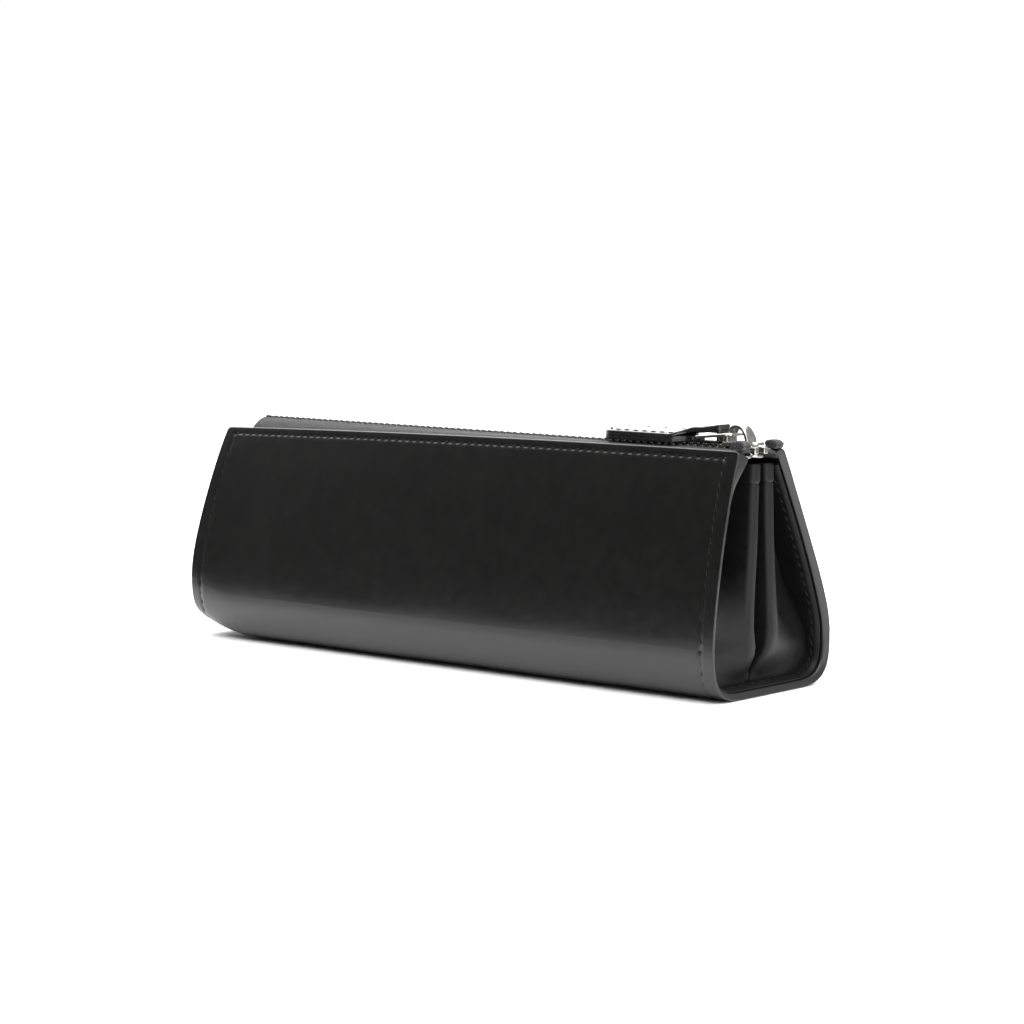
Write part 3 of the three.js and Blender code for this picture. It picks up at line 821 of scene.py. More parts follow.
def gusset_outline(end, z):
    """Corners of the gusset's middle surface at height z, as (distance from the end, y)."""
    x = end * (HALF_LENGTH - FLANGE)
    base = lift(end * HALF_LENGTH)
    height = z - base * (1 - z / GUSSET_TOP)
    opened = smoothstep(height, PLEAT_HEIGHTS[0], PLEAT_HEIGHTS[1])
    apart = np.interp(height, PLEAT_HEIGHTS, PLEAT_APART)
    groove = lerp(BASE_FLANGE + 1.0, GROOVE_X, opened)
    settle = smoothstep(-height, -13.0, -3.0)
    ridge = lerp(RIDGE_X, BASE_FLANGE, settle)
    side_fold = lerp(FLANGE - 0.3, BASE_FLANGE, smoothstep(-height, -30.0, -8.0))
    middle = PLEAT_Y
    front, back = (inner_y(side, x, z) for side in (-1, 1))
    outer = middle + np.array([-1, 1]) * (apart + RIDGE_HALF)
    share = np.interp(height, POCKET_HEIGHTS, POCKET_SHARE)
    pocket = lerp(np.interp(height, POCKET_HEIGHTS, POCKET_DEPTH), BASE_FLANGE, settle)
    return np.array([
        [side_fold, front], [pocket, lerp(outer[0], front, share)],
        [ridge, outer[0]], [ridge, middle - apart + RIDGE_HALF],
        [groove, middle - GROOVE_HALF], [groove, middle + GROOVE_HALF],
        [ridge, middle + apart - RIDGE_HALF], [ridge, outer[1]],
        [pocket, lerp(outer[1], back, share)], [side_fold, back],
    ])


def inner_y(side, x, z):
    """Y of the flange's middle at height z."""
    section = Section.at(side, x)
    surface = section.points + section.inward * (FLANGE_DEPTH + GUSSET / 2)
    wall = surface[: WALL_POINTS + CORNER_STEEP]
    return np.interp(z, wall[::-1, 1], wall[::-1, 0])


def rounded_path(corners, radius, steps):
    """The polyline through corners with each inner corner replaced by a smooth bend."""
    path = [corners[0]]
    for before, corner, after in zip(corners, corners[1:], corners[2:]):
        reach = [min(radius, 0.48 * np.linalg.norm(p - corner)) for p in (before, after)]
        a = corner + (before - corner) / np.linalg.norm(before - corner) * reach[0]
        b = corner + (after - corner) / np.linalg.norm(after - corner) * reach[1]
        for extra in (1 / 3, 2 / 3):
            path.append(lerp(path[-1], a, extra) if extra < 0.5 else lerp(path[-1], a, 0.5))
        for t in np.linspace(0, 1, steps):
            path.append((1 - t) ** 2 * a + 2 * t * (1 - t) * corner + t * t * b)
    for extra in (0.35, 0.7, 1.0):
        path.append(lerp(b, corners[-1], extra))
    return np.array(path)


def gusset_surface(end):
    """The middle surface of a pleated wall: rows go up, columns from front to back."""
    base = lift(end * HALF_LENGTH)
    low = base + FLANGE_FACE - 0.1
    heights = np.concatenate([
        low + np.array([0, 0.4, 0.9, 1.5, 2.2, 3.0, 4.0, 5.2, 6.6, 8.2, 10]),
        np.linspace(low + 12, GUSSET_TOP - HEM - 0.6, 30),
        GUSSET_TOP - HEM + np.array([-0.25, 0.0, 0.2, 0.45, 0.9, 2.0, 3.2, 4.2, 4.7, 5.0]),
    ])
    grid = []
    for z in heights:
        path = rounded_path(gusset_outline(end, z), FOLD_RADIUS, FOLD_STEPS)
        wobble = 0.12 * np.sin(z / 6.0 + path[:, 1] / 2.5) * smoothstep(-z, -52, -40)
        x = end * (HALF_LENGTH - path[:, 0] - wobble)
        grid.append(np.column_stack([x, path[:, 1], np.full(len(path), z)]))
    return np.array(grid), heights


def surface_normals(grid):
    du = np.gradient(grid, axis=0)
    dv = np.gradient(grid, axis=1)
    normal = np.cross(du, dv)
    return normal / np.linalg.norm(normal, axis=2)[:, :, None]


def gusset_halves(end):
    """The pleated wall in two halves that meet in the bottom of the pleat."""
    grid, heights = gusset_surface(end)
    normal = surface_normals(grid)
    outward = normal * np.sign(normal[:, :, 0].sum() * end)
    hem = 0.15 * smoothstep(heights, GUSSET_TOP - HEM - 0.1, GUSSET_TOP - HEM + 0.3)
    groove = 0.18 * np.exp(-(((heights - GUSSET_TOP + HEM) / 0.3) ** 2))
    rim = np.clip((heights - GUSSET_TOP + 0.5) / 0.5, 0, 1)
    half = (GUSSET / 2 + hem - groove)[:, None, None] * np.sqrt(1 - 0.75 * rim**2)[:, None, None]
    under = (GUSSET / 2 * np.sqrt(1 - 0.75 * rim**2))[:, None, None]
    middle = grid.shape[1] // 2
    name = "right" if end > 0 else "left"
    for side, cut in ((-1, slice(0, middle + 1)), (1, slice(middle, None))):
        outer = (grid + outward * half)[:, cut]
        inner = (grid - outward * under)[:, cut]
        obj = shell(f"gusset_{name}_{WALL_NAME[side]}_half", outer, inner, GUSSET_MAT)
        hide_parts(f"gusset_{name}")
        follow_gusset(obj, end, side)


def follow_gusset(obj, end, side):
    """The left gusset's halves are attached to the case; the right gusset's halves have their placement
    baked into their mesh.
    """
    if end < 0:
        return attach(obj, "case")
    x = HALF_LENGTH - FLANGE
    section = Section.at(side, x)
    top, crease = section.points[0], section.points[WALL_POINTS - 1]
    across = np.array([0, -(top[1] - crease[1]), top[0] - crease[0]])
    across /= np.linalg.norm(across)
    wall = np.array([0, inner_y(side, x, GUSSET_TOP), GUSSET_TOP])
    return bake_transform(obj)


def follow_flange(obj, end):
    """At the slider's end a flange's placement is baked into its mesh; at the other end it is attached to
    the case.
    """
    return bend_with_wall(obj) if end > 0 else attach(obj, "case")


def gusset_flanges(end):
    """The gusset's edge, turned out inside the wrap: a strip on each wall and one on the base."""
    name = "right" if end > 0 else "left"
    near = FLANGE_INSET + np.array([0, 0.05, 0.2, 0.45, 1.0])
    ds = np.concatenate([near, [3.2, 3.6, 3.9, 4.1, 4.3, 4.5, 4.7, 5.2, 7.0, FLANGE]])
    edge_drop = SKIVED * np.clip(1 - (ds - FLANGE_INSET) / SKIVE_LENGTH, 0, 1)
    dent = 0.14 * np.exp(-(((ds - END_SEAM) / 0.5) ** 2))
    for side in (-1, 1):
        x1 = end * (HALF_LENGTH - ds)
        wall = Section.at(side, end * HALF_LENGTH).wall
        start = (top_z(end * HALF_LENGTH) - GUSSET_TOP) * 1.03
        top_rows = start + np.array([0, 0.15, 0.5])
        lengths = np.concatenate([top_rows, np.linspace(start + 1.2, wall + 1.0, 44)])
        x, s = np.meshgrid(x1, lengths, indexing="ij")
        obj = shell(
            f"gusset_{name}_{WALL_NAME[side]}_flange",
            on_wrap(side, x, s, FLANGE_FACE - (edge_drop + dent)[:, None] + 0 * s),
            on_wrap(side, x, s, FLANGE_DEPTH + 0 * s),
            GUSSET_MAT,
        )
        follow_flange(obj, end)
        reach = end * (HALF_LENGTH - END_SEAM)
        downs = np.arange(start + 2.0, wall - 0.5, STITCH_PITCH)
        xs = np.full(len(downs), reach)
        places = wrap_stitches(side, xs, downs, FLANGE_FACE - 0.05, inside=True, along_x=False)
        seam = stitches(f"gusset_{name}_{WALL_NAME[side]}_seam", places)
        follow_flange(seam, end)
    halves = []
    x1 = end * (HALF_LENGTH - np.minimum(ds, np.linspace(BASE_FLANGE - 0.01, BASE_FLANGE, len(ds))))
    for depth in (FLANGE_FACE - edge_drop - dent, FLANGE_DEPTH + 0 * dent):
        parts = []
        for side in (-1, 1):
            section = Section.at(side, end * HALF_LENGTH)
            lengths = np.linspace(section.wall + 0.2, section.length[-1], 26)
            x, s = np.meshgrid(x1, lengths, indexing="ij")
            parts.append(on_wrap(side, x, s, depth[:, None] + 0 * s))
        halves.append(np.concatenate([parts[0], parts[1][:, ::-1][:, 1:]], axis=1))
    obj = shell(f"gusset_{name}_base_flange", halves[0], halves[1], GUSSET_MAT)
    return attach(obj, "case")


# ---- zip: tapes, teeth, stops


def chain_point(local):
    """Points given along, across and above the chain, measured from its middle under the slider."""
    return CHAIN_RIGHT + np.asarray(local, float) @ np.array([CHAIN_X, CHAIN_Y, CHAIN_Z])


TAPE_LEFT = -91.0
TAPE_RIGHT = HALF_LENGTH - LIP_LENGTH - 0.1
TAPE_SEAM = 11.0
TAPE_DEPTH = LEATHER + 0.1
BEAD = 2.0                # middle of the corded edge, from the middle of the chain
BEAD_RADIUS = 0.75


def tape_path(side, x):
    """The tape's middle line at x, from its sewn edge up to the teeth."""
    section = Section.at(side, x)
    sewn = TAPE_SEAM if abs(x) < HALF_LENGTH - FLANGE - 0.5 else 1.9
    lengths = np.linspace(sewn, 0.9, 8)
    yz = section.read(section.points, lengths)
    yz = yz + section.read(section.inward, lengths) * (TAPE_DEPTH + TAPE / 2)
    top = yz[-1]
    edge = np.array([mouth_y(x) + side * BEAD, chain_z(x)])
    rise = top + (yz[-1] - yz[-2]) / np.linalg.norm(yz[-1] - yz[-2]) * 1.1
    before = edge + np.array([side * 3.2, -0.15])
    over = bezier(top, rise, before, edge, 12)[1:]
    return np.vstack([yz, over])


def zip_tape(side):
    notch = HALF_LENGTH - FLANGE - 0.5
    xs = np.concatenate([
        np.linspace(TAPE_LEFT, -notch - 0.1, 6),
        np.linspace(-notch + 0.1, notch - 0.1, 120),
        np.linspace(notch + 0.1, TAPE_RIGHT, 14),
    ])
    middle = np.array([np.column_stack([np.full(19, x), tape_path(side, x)]) for x in xs])
    normal = surface_normals(middle)
    run = np.linalg.norm(np.diff(middle, axis=1), axis=2).cumsum(axis=1)
    run = np.column_stack([np.zeros(len(xs)), run])
    uv = np.stack([np.broadcast_to(xs[:, None], run.shape), run], axis=-1)
    thick = TAPE / 2
    name = WALL_NAME[side]
    obj = shell(f"zip_tape_{name}", middle + normal * thick, middle - normal * thick, TAPE_MAT, uv=uv)
    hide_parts(f"tape_{name}")
    cord = bead(side)
    bend_with_wall(obj)


def bead(side):
    """The corded edge that the teeth clamp."""
    angle = np.linspace(0, 2 * math.pi, 10, endpoint=False)
    xs = np.linspace(CHAIN_START - 2.0, 5.6, 160)
    rings = np.empty((len(xs), len(angle), 3))
    rings[:, :, 0] = xs[:, None] + 0 * angle
    rings[:, :, 1] = side * BEAD + BEAD_RADIUS * np.cos(angle) + 0 * xs[:, None]
    rings[:, :, 2] = BEAD_RADIUS * np.sin(angle) + 0 * xs[:, None]
    obj = sweep_object(f"zip_cord_{WALL_NAME[side]}", chain_point(rings), TAPE_MAT)
    layer = obj.data.uv_layers.new(name="UVMap")
    for loop in obj.data.loops:
        co = obj.data.vertices[loop.vertex_index].co / MM
        layer.data[loop.index].uv = (co.x, co.z + co.y)
    return bend_with_wall(obj)


def tooth(side):
    """One tooth along Y: legs clamped round the cord and a head across the middle of the chain."""
    profile = np.array([
        [-1.15, -0.45], [-1.15, 0.45], [-0.75, 0.85], [0.1, 0.93], [0.9, 0.80],
        [1.6, 0.92], [2.35, 0.98], [2.85, 0.70], [2.85, -0.70], [2.35, -0.98],
        [1.6, -0.92], [0.9, -0.80], [0.1, -0.93], [-0.75, -0.85],
    ])
    centre = np.array([0.85, 0])
    rings = []
    for x, shrink in ((-0.55, 0.84), (-0.46, 0.95), (-0.28, 1.0), (0.28, 1.0), (0.46, 0.95), (0.55, 0.84)):
        ring = centre + (profile - centre) * [1 - (1 - shrink) * 0.5, shrink]
        rings.append(np.column_stack([np.full(len(ring), x), side * ring[:, 0], ring[:, 1]]))
    return tube(np.array(rings))


def zip_teeth(side):
    vertices, faces = tooth(side)
    shift = TOOTH_PITCH / 2 if side > 0 else 0.0
    parts = []
    for k in range(TOOTH_COUNT):
        x = CHAIN_START + shift + 0.7 + k * TOOTH_PITCH
        parts.append((chain_point(vertices + [x, 0, 0]), faces))
    name = WALL_NAME[side]
    obj = joined(f"zip_teeth_{name}", parts, TEETH_MAT, sharp=35)
    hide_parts(f"teeth_{name}")
    return bend_with_wall(obj)


def offset_outline(outline, distance):
    """The closed outline moved inwards; its points run counter-clockwise."""
    before = outline - np.roll(outline, 1, axis=0)
    after = np.roll(outline, -1, axis=0) - outline
    normals = []
    for d in (before, after):
        d = d / np.maximum(np.linalg.norm(d, axis=1), 1e-9)[:, None]
        normals.append(np.column_stack([-d[:, 1], d[:, 0]]))
    mean = normals[0] + normals[1]
    mean /= np.maximum(np.linalg.norm(mean, axis=1), 1e-9)[:, None]
    stretch = 1 / np.clip(np.einsum("ij,ij->i", mean, normals[0]), 0.6, 1)
    return outline + mean * (distance * stretch)[:, None]


RIM = 0.2        # flat strip between a plate's rounded rim and the cap inside it


def rounded_plate(outline, low, high, radius, low_radius=None):
    """A plate on a counter-clockwise outline, with rounded rims."""
    quarter = np.radians(np.linspace(0, 90, 6))
    under = radius if low_radius is None else low_radius
    levels = [(under + RIM, low)]
    levels += [(under * (1 - math.sin(a)), low + under * (1 - math.cos(a))) for a in quarter]
    levels += [(radius * (1 - math.cos(a)), high - radius * (1 - math.sin(a))) for a in quarter]
    levels.append((radius + RIM, high))
    rings = [(offset_outline(outline, inset), z) for inset, z in levels]
    return tube(np.array([np.column_stack([ring, np.full(len(ring), z)]) for ring, z in rings]))


def box_outline(x0, x1, half, corner, steps=6):
    """A rectangle with round corners, counter-clockwise from its lower right corner."""
    centres = [(x1 - corner, corner - half), (x1 - corner, half - corner), (x0 + corner, half - corner),
               (x0 + corner, corner - half)]
    points = []
    for k, (cx, cy) in enumerate(centres):
        for a in np.radians(np.linspace(-90 + 90 * k, 90 * k, steps)):
            points.append([cx + corner * math.cos(a), cy + corner * math.sin(a)])
    return np.array(points)


def dense(outline, spacing):
    """The closed outline with no step longer than spacing."""
    points = []
    for a, b in zip(outline, np.roll(outline, -1, axis=0)):
        count = max(1, int(math.ceil(np.linalg.norm(b - a) / spacing)))
        points += [lerp(a, b, k / count) for k in range(count)]
    return np.array(points)


STOP_HALF = 0.95
BOTTOM_STOP_X = CHAIN_START - 1.6
TOP_STOP_X = 6.05
TOP_STOP_Y = 1.95


def stops():
    low, high = -STOP_HALF, STOP_HALF
    outline = box_outline(BOTTOM_STOP_X - 1.3, BOTTOM_STOP_X + 1.3, 2.7, 0.6)
    vertices, faces = rounded_plate(outline, low, high, 0.4)
    bottom = joined("zip_bottom_stop", [(chain_point(vertices), faces)], NICKEL_MAT)
    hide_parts("bottom_stop")
    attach(bottom, "case")
    for side in (-1, 1):
        outline = box_outline(TOP_STOP_X - 0.75, TOP_STOP_X + 0.75, 0.85, 0.35) + [0, side * TOP_STOP_Y]
        vertices, faces = rounded_plate(outline, low, high, 0.35)
        obj = joined(f"zip_top_stop_{WALL_NAME[side]}", [(chain_point(vertices), faces)], NICKEL_MAT)
        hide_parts(f"top_stop_{WALL_NAME[side]}")
        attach(obj, WALL_BODY[side])


# ---- slider, ring and tab

SLIDER_HALF = 5.0
CHANNEL = 2.4
PLATE = 0.9
POST = (1.9, 4.0, 0.9, 0.8)       # the post between the plates: its ends along X, half width and corner
BRIDGE_BASE = CHANNEL / 2 + PLATE + 0.05
BRIDGE_REACH = 5.3                # the handles of the arch rise this far above its feet
BRIDGE_WIDTH = 4.6
BRIDGE_WAIST = 0.7                # narrower by this at the middle
BRIDGE_THICK = 1.15
RING_PIVOT = np.array([-1.1, 0, 3.9])
RING_FALL = 0.1
RING_LENGTH = 12.8
RING_HALF_WIDTH = 4.6
RING_BAR = 1.2
RING_CORNER = 2.4


def quadratic(a, b, c, count):
    t = np.linspace(0, 1, count)[:, None]
    return (1 - t) ** 2 * np.array(a) + 2 * t * (1 - t) * np.array(b) + t * t * np.array(c)


def shield_outline():
    """The slider's plates from above, with a notch between the two mouths."""
    half = SLIDER_HALF
    lower = np.vstack([
        quadratic((-half, 0), (-half, -2.6), (-half + 1.0, -2.9), 6),
        quadratic((-half + 1.0, -2.9), (-1, -3.9), (half - 1.5, -4.3), 12)[1:],
        quadratic((half - 1.5, -4.3), (half, -4.2), (half, -2.4), 8)[1:],
        quadratic((half, -2.4), (half - 0.4, -0.9), (half - 1.2, 0), 7)[1:],
    ])
    upper = lower[1:-1][::-1] * [1, -1]
    return np.vstack([lower, upper])


def slider():
    half = CHANNEL / 2
    outline = shield_outline()
    post = box_outline(*POST)
    parts = [
        rounded_plate(outline, -half - PLATE, -half, 0.35),
        rounded_plate(outline, half, half + PLATE, 0.40, low_radius=0.15),
        rounded_plate(post, -half - 0.4, half + 0.4, 0.1),
        slider_flange(-1),
        slider_flange(1),
    ]
    body = joined("zip_slider", [(chain_point(v), f) for v, f in parts], NICKEL_MAT)
    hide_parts("slider_body")
    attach(body, "slider")
    bridge()


def slider_flange(side):
    """The lip along a plate's edge that guides the teeth."""
    half = CHANNEL / 2
    line = quadratic((-4.2, -2.9), (-1, -3.75), (3.6, -4.15), 14) * [1, -side]
    rings = []
    for k, p in enumerate(line):
        shrink = 0.55 + 0.45 * min(1, k / 2, (len(line) - 1 - k) / 2)
        angle = np.linspace(0, 2 * math.pi, 12, endpoint=False)
        y = p[1] + side * (0.28 * np.cos(angle) - 0.1) * shrink
        z = half + 0.35 + (0.55 * np.sin(angle) - 0.25) * shrink
        rings.append(np.column_stack([np.full(12, p[0]), y, z]))
    return tube(np.array(rings))


def band_section(width, thick, count=16, power=3.2):
    """A flat band's cross-section with full rounded edges."""
    a = np.linspace(0, 2 * math.pi, count, endpoint=False)
    c, s = np.cos(a), np.sin(a)
    across = width / 2 * np.sign(c) * np.abs(c) ** (2 / power)
    return np.column_stack([across, thick / 2 * np.sign(s) * np.abs(s) ** (2 / power)])


def bridge():
    """The arch over the slider, wide and rounded on top, that carries the ring."""
    path = bezier(
        np.array([-3.35, BRIDGE_BASE - 0.25]), np.array([-3.5, BRIDGE_BASE + BRIDGE_REACH]),
        np.array([2.4, BRIDGE_BASE + BRIDGE_REACH]), np.array([3.2, BRIDGE_BASE - 0.25]), 26,
    )
    along = np.gradient(path, axis=0)
    along /= np.linalg.norm(along, axis=1)[:, None]
    rings = []
    for k, (p, d) in enumerate(zip(path, along)):
        arch = math.sin(math.pi * k / (len(path) - 1))
        section = band_section(BRIDGE_WIDTH - BRIDGE_WAIST * arch, BRIDGE_THICK + 0.15 * arch)
        normal = np.array([-d[1], d[0]])
        rings.append(np.column_stack([
            p[0] + normal[0] * section[:, 1], section[:, 0], p[1] + normal[1] * section[:, 1]
        ]))
    obj = sweep_object("zip_slider_bridge", chain_point(np.array(rings)), NICKEL_MAT)
    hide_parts("slider_bridge")
    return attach(obj, "slider")


def ring_point(local):
    """Points in the plane of the ring, as it lies at rest."""
    fall = math.atan(RING_FALL)
    x = local[..., 0] * math.cos(fall) - local[..., 2] * math.sin(fall)
    z = local[..., 0] * math.sin(fall) + local[..., 2] * math.cos(fall)
    return chain_point(np.stack([x, local[..., 1], z], axis=-1) + RING_PIVOT)


def pull_ring():
    inset = RING_BAR / 2
    start = -RING_LENGTH + RING_BAR / 2
    half = RING_HALF_WIDTH - inset
    path = dense(box_outline(start + inset, RING_BAR / 2 - inset, half, RING_CORNER - inset, 8), 0.8)
    along = np.roll(path, -1, axis=0) - np.roll(path, 1, axis=0)
    along /= np.linalg.norm(along, axis=1)[:, None]
    section = band_section(RING_BAR, 0.9, 14, 2.6)
    rings = []
    for p, d in zip(path, along):
        normal = np.array([-d[1], d[0]])
        rings.append(np.column_stack([p + normal * section[:, :1], section[:, 1]]))
    obj = sweep_object("zip_pull_ring", ring_point(np.array(rings)), RING_MAT, closed=True)
    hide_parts("pull_ring")
    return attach(obj, "pull_ring")


TAB_END = -45.0
TAB_SHOULDER = -18.8
TAB_HALF_WIDTH = 6.0
NECK_HALF_WIDTH = 2.7
NECK_END = -5.3
TAB_BOTTOM = 1.15
TAB_PLY = 0.8
TAB_CORE = 0.95
NECK_RISE = (1.15, 1.7)    # the neck's underside and top step up this much to pass over the ring
NECK_START = -11.5         # from here to the ring the neck's top climbs by this slope
NECK_SLOPE = 0.16
TAB_ROLL = 0.05            # the tab leans forward: its back edge is higher
TAB_SEAM = 1.5
TAB_CROWN = 0.30
TAB_STITCH = 3.0
PAINTED = 0.45             # radius of the painted edge's rounding
FLUSH = 0.04               # rounding where two plies meet
TAB_TOP_PLY = TAB_BOTTOM + TAB_PLY + TAB_CORE


def tab_outline(end, inset):
    """The tab from above, counter-clockwise: a rounded paddle that narrows to a neck."""
    half = TAB_HALF_WIDTH - inset
    neck = NECK_HALF_WIDTH - inset
    left = TAB_END + inset
    shoulder = bezier(
        np.array([TAB_SHOULDER - 1, -half]), np.array([TAB_SHOULDER + 1.5, -half]),
        np.array([TAB_SHOULDER + 1, -neck]), np.array([TAB_SHOULDER + 4.5, -neck]), 10,
    )
    lower = np.vstack([shoulder, box_outline(end - 3, end, neck, 0.8)[:6]])
    upper = lower[::-1] * [1, -1]
    turn = np.radians(np.linspace(90, 270, 21))
    left_end = np.column_stack([left + half + half * np.cos(turn), half * np.sin(turn)])
    return dense(np.vstack([lower, upper, left_end]), 0.9)


def tab_middle(points):
    """The nearest point on the tab's middle line."""
    half = TAB_HALF_WIDTH
    x = np.clip(points[:, 0], TAB_END + half, NECK_END - 1.0)
    return np.column_stack([x, np.zeros(len(points))])


def tab_bend(points, rises):
    """The tab's own bends: it leans forward, and a ply that rises steps up over the ring."""
    bent = np.array(points, float)
    step = smoothstep(bent[..., 0], TAB_SHOULDER - 1.5, TAB_SHOULDER + 5.5)
    if rises:
        share = np.clip((bent[..., 2] - TAB_TOP_PLY) / TAB_PLY, 0, 1)
        climb = NECK_SLOPE * np.clip(bent[..., 0] - NECK_START, 0, None)
        bent[..., 2] += step * (lerp(*NECK_RISE, share) + climb * share)
    bent[..., 2] += TAB_ROLL * bent[..., 1] * (1 - step)
    return bent


def tab_ply(end, low, high, low_radius, high_radius, crown=0.0, seam=False):
    """A ply of the tab: closed rings up its side, then over its face to the middle line."""
    outline = tab_outline(end, 0)
    centre = tab_middle(outline)
    width = np.linalg.norm(outline - centre, axis=1)
    rings = []
    quarter = np.radians(np.linspace(0, 90, 7))

    def ring(inward, z):
        share = np.clip(inward / np.maximum(width, 1e-6), 0, 1)[:, None]
        rings.append(np.column_stack([outline + (centre - outline) * share, z + 0 * width]))

    for share in (0.98, 0.6, 0.25):
        ring(share * width, low)
    for a in quarter:
        ring(low_radius * (1 - math.sin(a)) + 0 * width, low + low_radius * (1 - math.cos(a)))
    for a in quarter:
        ring(high_radius * (1 - math.cos(a)) + 0 * width, high - high_radius * (1 - math.sin(a)))
    broad = smoothstep(width, 3.0, 5.0)
    for inward in (0.6, 0.8, 1.0, 1.2, 1.35, 1.5, 1.65, 1.8, 2.1, 2.5, 3.0, 3.6, 4.3, 5.2, 5.95):
        part = np.minimum(inward, width * 0.98)
        dome = crown * np.sin(math.pi / 2 * np.clip((part - 0.5) / 3.5, 0, 1)) * broad
        dip = 0.14 * np.exp(-(((part - TAB_SEAM) / 0.35) ** 2)) * broad if seam else 0
        ring(part, high + dome - dip)
    return tube(np.array(rings))


def pull_tab():
    core_low = TAB_BOTTOM + TAB_PLY
    top = tab_ply(NECK_END, TAB_TOP_PLY, TAB_TOP_PLY + TAB_PLY, FLUSH, PAINTED, TAB_CROWN, seam=True)
    core = tab_ply(TAB_SHOULDER + 5, core_low + 0.01, TAB_TOP_PLY - 0.01, FLUSH, FLUSH)
    bottom = tab_ply(NECK_END - 1.3, TAB_BOTTOM, core_low, PAINTED, FLUSH)
    fold_outline = box_outline(NECK_END - 1.0, NECK_END, NECK_HALF_WIDTH, 0.4)
    fold = rounded_plate(fold_outline, TAB_BOTTOM, TAB_TOP_PLY + NECK_RISE[1] + TAB_PLY, 0.3)
    made = {
        "pull_tab_top": [(*top, True), (*fold, False)],
        "pull_tab_core": [(*core, False)],
        "pull_tab_bottom": [(*bottom, False)],
    }
    for node, parts in made.items():
        placed = [(chain_point(tab_bend(v, rises)), f) for v, f, rises in parts]
        obj = joined(f"leather_{node}", placed, TAB_MAT, sharp=60)
        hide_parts(node)
        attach(obj, "pull_tab")
    seam = stitches("pull_tab_seam", tab_seam_places(), scale=1.12, slant=math.radians(4))
    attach(seam, "pull_tab")


def tab_seam_places():
    """Stitches round the paddle, just inside its edge."""
    outline = tab_outline(NECK_END, 0)
    outline = outline[outline[:, 0] < TAB_SHOULDER + 0.5]
    start = int(np.argmax(np.linalg.norm(np.diff(outline, axis=0), axis=1))) + 1
    outline = np.roll(outline, -start, axis=0)
    middle = tab_middle(outline)
    width = np.linalg.norm(outline - middle, axis=1)[:, None]
    line = outline + (middle - outline) * TAB_SEAM / width
    steps = np.linalg.norm(np.diff(line, axis=0), axis=1)
    run = np.concatenate([[0], np.cumsum(steps)])
    count = int(run[-1] / TAB_STITCH)
    places = []
    height = TAB_TOP_PLY + TAB_PLY + 0.10
    for k in range(count):
        s = (k + 0.5) * run[-1] / count
        flat = [[*(np.interp(at, run, line[:, i]) for i in (0, 1)), height] for at in (s, s + 0.3)]
        point, ahead = (chain_point(tab_bend(place, True)) for place in flat)
        places.append((point, ahead - point, CHAIN_Z.copy()))
    return places


# ---- the tapes' turned-back tails


TAIL_X = {-1: HALF_LENGTH - 2.0, 1: HALF_LENGTH - 2.0}
TAIL_Y = {-1: 6.6, 1: 8.5}     # from the middle of the mouth to the middle of a tail
TAIL_GAP = {-1: 0.1, 1: -0.2}  # and from the wall's top edge up to it
TAIL_LAYER = 0.78              # the folded layers of tape touch


def tail_line():
    """A tail's folds seen from the side: three layers of tape, the top one drooping over."""
    def turn(x, z, outward):
        a = np.radians(np.linspace(-90, 90, 9)[1:-1])
        r = TAIL_LAYER / 2
        return np.column_stack([x + outward * r * 1.1 * np.cos(a), z + r + r * np.sin(a)])

    low = TAIL_LAYER / 2 - 0.1
    return np.vstack([
        np.column_stack([np.linspace(-2.3, 0.9, 12), np.full(12, low)]),
        turn(0.9, low, 1),
        np.column_stack([np.linspace(0.9, -1.5, 12), np.full(12, low + TAIL_LAYER)]),
        turn(-1.5, low + TAIL_LAYER, -1),
        bezier(
            np.array([-1.5, low + 2 * TAIL_LAYER]), np.array([0, low + 2 * TAIL_LAYER + 0.15]),
            np.array([1.0, low + 2 * TAIL_LAYER + 0.1]), np.array([1.6, low + TAIL_LAYER * 0.9]), 14,
        ),
    ])


def tape_tails():
    """Each tape's end, folded back on itself beside the slider and pressed into a soft lump."""
    line = tail_line()
    across = np.linspace(-1.75, 1.75, 15)
    normal = np.gradient(line, axis=0)
    normal = np.column_stack([-normal[:, 1], normal[:, 0]]) / np.linalg.norm(normal, axis=1)[:, None]
    run = np.concatenate([[0], np.linalg.norm(np.diff(line, axis=0), axis=1).cumsum()])
    uv = np.stack(np.meshgrid(run, across, indexing="ij"), axis=-1)
    droop = 0.30 * (across / across[-1]) ** 4 * (line[:, 1:] / line[:, 1].max())
    half = (TAIL_LAYER / 2 - 0.02) * np.sqrt(1 - 0.7 * (across / across[-1]) ** 8)
    for side in (-1, 1):
        x = TAIL_X[side]
        base = np.array([x, mouth_y(x) + side * TAIL_Y[side], top_z(x) + TAIL_GAP[side]])
        middle = np.empty((len(line), len(across), 3))
        middle[:, :, 0] = line[:, :1] + 0.12 * np.sin(across * 1.7 + side)
        middle[:, :, 1] = across + 0.08 * np.sin(line[:, :1] * 2.3 + side)
        middle[:, :, 2] = line[:, 1:] - droop
        push = np.stack([normal[:, :1] * half, 0 * middle[:, :, 0], normal[:, 1:] * half], axis=-1)
        name = WALL_NAME[side]
        obj = shell(f"zip_tape_tail_{name}", base + middle + push, base + middle - push, TAPE_MAT, uv=uv)
        face_out(obj)
        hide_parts(f"tape_tail_{name}")
        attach(obj, WALL_BODY[side])


# ---- camera, floor and light


def make_camera():
    data = bpy.data.cameras.new("camera")
    data.lens = 88.426
    data.sensor_width = 36
    data.clip_start = 0.01
    camera = bpy.data.objects.new("camera", data)
    camera.location = (0.48140, -0.53906, 0.10766)
    camera.rotation_euler = (math.radians(90 - 5.168), 0, math.radians(41.2816))
    bpy.context.scene.collection.objects.link(camera)
    bpy.context.scene.camera = camera


FLOOR_SIZE = 6.0


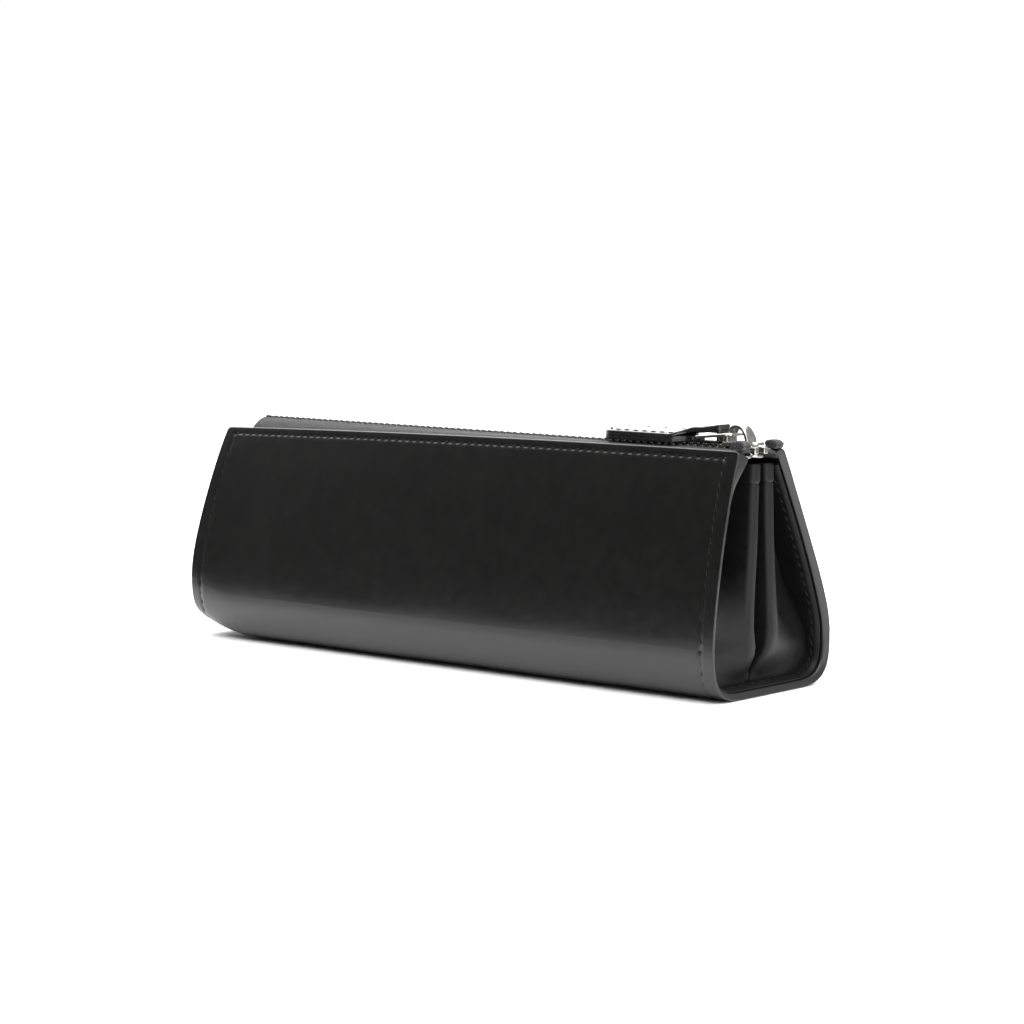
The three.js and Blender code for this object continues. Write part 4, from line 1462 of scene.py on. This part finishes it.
def make_floor():
    half = FLOOR_SIZE / 2
    corners = np.array([[-half, -half, 0], [half, -half, 0], [half, half, 0], [-half, half, 0]]) / MM
    tree = Tree("floor_paper")
    tone = tree.noise(tree.place(1.0), 40.0, 2.0)
    tree.link(tree.ramp(tone, 0, 1, 0.88, 0.90), tree.shader, "Base Color")
    tree.constant("Roughness", 0.9)
    tree.constant("Specular IOR Level", 0.1)
    floor = add_object("floor", corners, np.array([[0, 1, 2, 3]]), tree.material)


SKY = 3.4                # brightness of the soft white room
DIM = 0.7                # brightness of its dimmer part, behind the case
DIM_SIDE = (0.66, 0.75, 0.0)
DIM_EDGE = (0.60, 0.92)  # where it begins and is full, as cosines from that direction
SHADE = 0.10             # brightness of its dark side, at the front
SHADE_SIDE = (-0.25, -0.96, 0.10)
SHADE_EDGE = (0.0, 0.45)
SHADE_TOP = (0.50, 0.78)  # it fades out upwards between these heights of a direction
WHITE = (1, 1, 1, 1)


FLAG_HEIGHT = 0.30
FRONT_FLAG = ((-0.80, -0.017), (0.12, -0.135))     # its two feet, as (x, y)
FRONT_SPREAD = (-0.34, 0.02)                       # between these x its shade goes
FRONT_SHADES = (0.16, 0.05)                        # from the first of these to the second
END_FLAG = ((-0.145, 0.48), (0.418, -0.015))
END_SPREAD = (0.0, 0.4)
END_SHADES = (0.45, 0.55)


def make_flag(name, ends, spread, shades):
    """A dim board standing out of view, for the smooth leather to mirror; its shade runs along X."""
    (x0, y0), (x1, y1) = ends
    corners = np.array([[x0, y0, 0], [x1, y1, 0], [x1, y1, FLAG_HEIGHT], [x0, y0, FLAG_HEIGHT]]) / MM
    tree = Tree(f"{name}_board")
    place = tree.split(tree.place(1.0))
    tree.link(tree.ramp(place["X"], *spread, *shades), tree.shader, "Emission Strength")
    tree.constant("Emission Color", WHITE)
    tree.constant("Base Color", (0, 0, 0, 1))
    tree.constant("Specular IOR Level", 0.0)
    flag = add_object(name, corners, np.array([[0, 1, 2, 3]]), tree.material)
    flag.visible_camera = False
    flag.visible_diffuse = False
    flag.visible_shadow = False


def make_world():
    """A white room with a dark and a dim side, for the leather to mirror; seen directly it is white."""
    world = bpy.data.worlds.new("studio")
    world.use_nodes = True
    bpy.context.scene.world = world
    graph = Graph(world.node_tree)
    direction = graph.add("ShaderNodeTexCoord").outputs["Generated"]

    def facing(side):
        dot = graph.add("ShaderNodeVectorMath", operation="DOT_PRODUCT")
        dot.inputs[1].default_value = Vector(side).normalized()
        graph.links.new(direction, dot.inputs[0])
        return dot.outputs["Value"]

    toward = graph.ramp(facing(SHADE_SIDE), *SHADE_EDGE, 0, 1, smooth=True)
    below_top = graph.ramp(graph.split(direction)["Z"], *SHADE_TOP, 1, 0, smooth=True)
    sky = graph.ramp(facing(DIM_SIDE), *DIM_EDGE, SKY, DIM, smooth=True)
    strength = graph.add("ShaderNodeMix")
    graph.link(graph.math("MULTIPLY", toward, below_top), strength, "Factor")
    graph.link(sky, strength, "A")
    strength.inputs["B"].default_value = SHADE
    light = graph.add("ShaderNodeBackground", Color=WHITE)
    graph.link(strength.outputs["Result"], light, "Strength")
    seen = graph.add("ShaderNodeBackground", Color=WHITE)
    mix = graph.add("ShaderNodeMixShader")
    graph.link(graph.add("ShaderNodeLightPath").outputs["Is Camera Ray"], mix, "Fac")
    graph.links.new(light.outputs[0], mix.inputs[1])
    graph.links.new(seen.outputs[0], mix.inputs[2])
    graph.link(mix.outputs[0], graph.add("ShaderNodeOutputWorld"), "Surface")


make_camera()
make_floor()
make_flag("front_flag", FRONT_FLAG, FRONT_SPREAD, FRONT_SHADES)
make_flag("end_flag", END_FLAG, END_SPREAD, END_SHADES)
make_world()
bpy.context.scene.view_settings.view_transform = "Standard"

for wall_side in (-1, 1):
    leather_wall(wall_side)
    wall_seams(wall_side)
    zip_tape(wall_side)
    zip_teeth(wall_side)
leather_base()
base_seams()
for wall_side in (-1, 1):
    wall_lining(wall_side)
base_lining()
for case_end in (-1, 1):
    gusset_halves(case_end)
    gusset_flanges(case_end)
stops()
slider()
pull_ring()
pull_tab()
tape_tails()
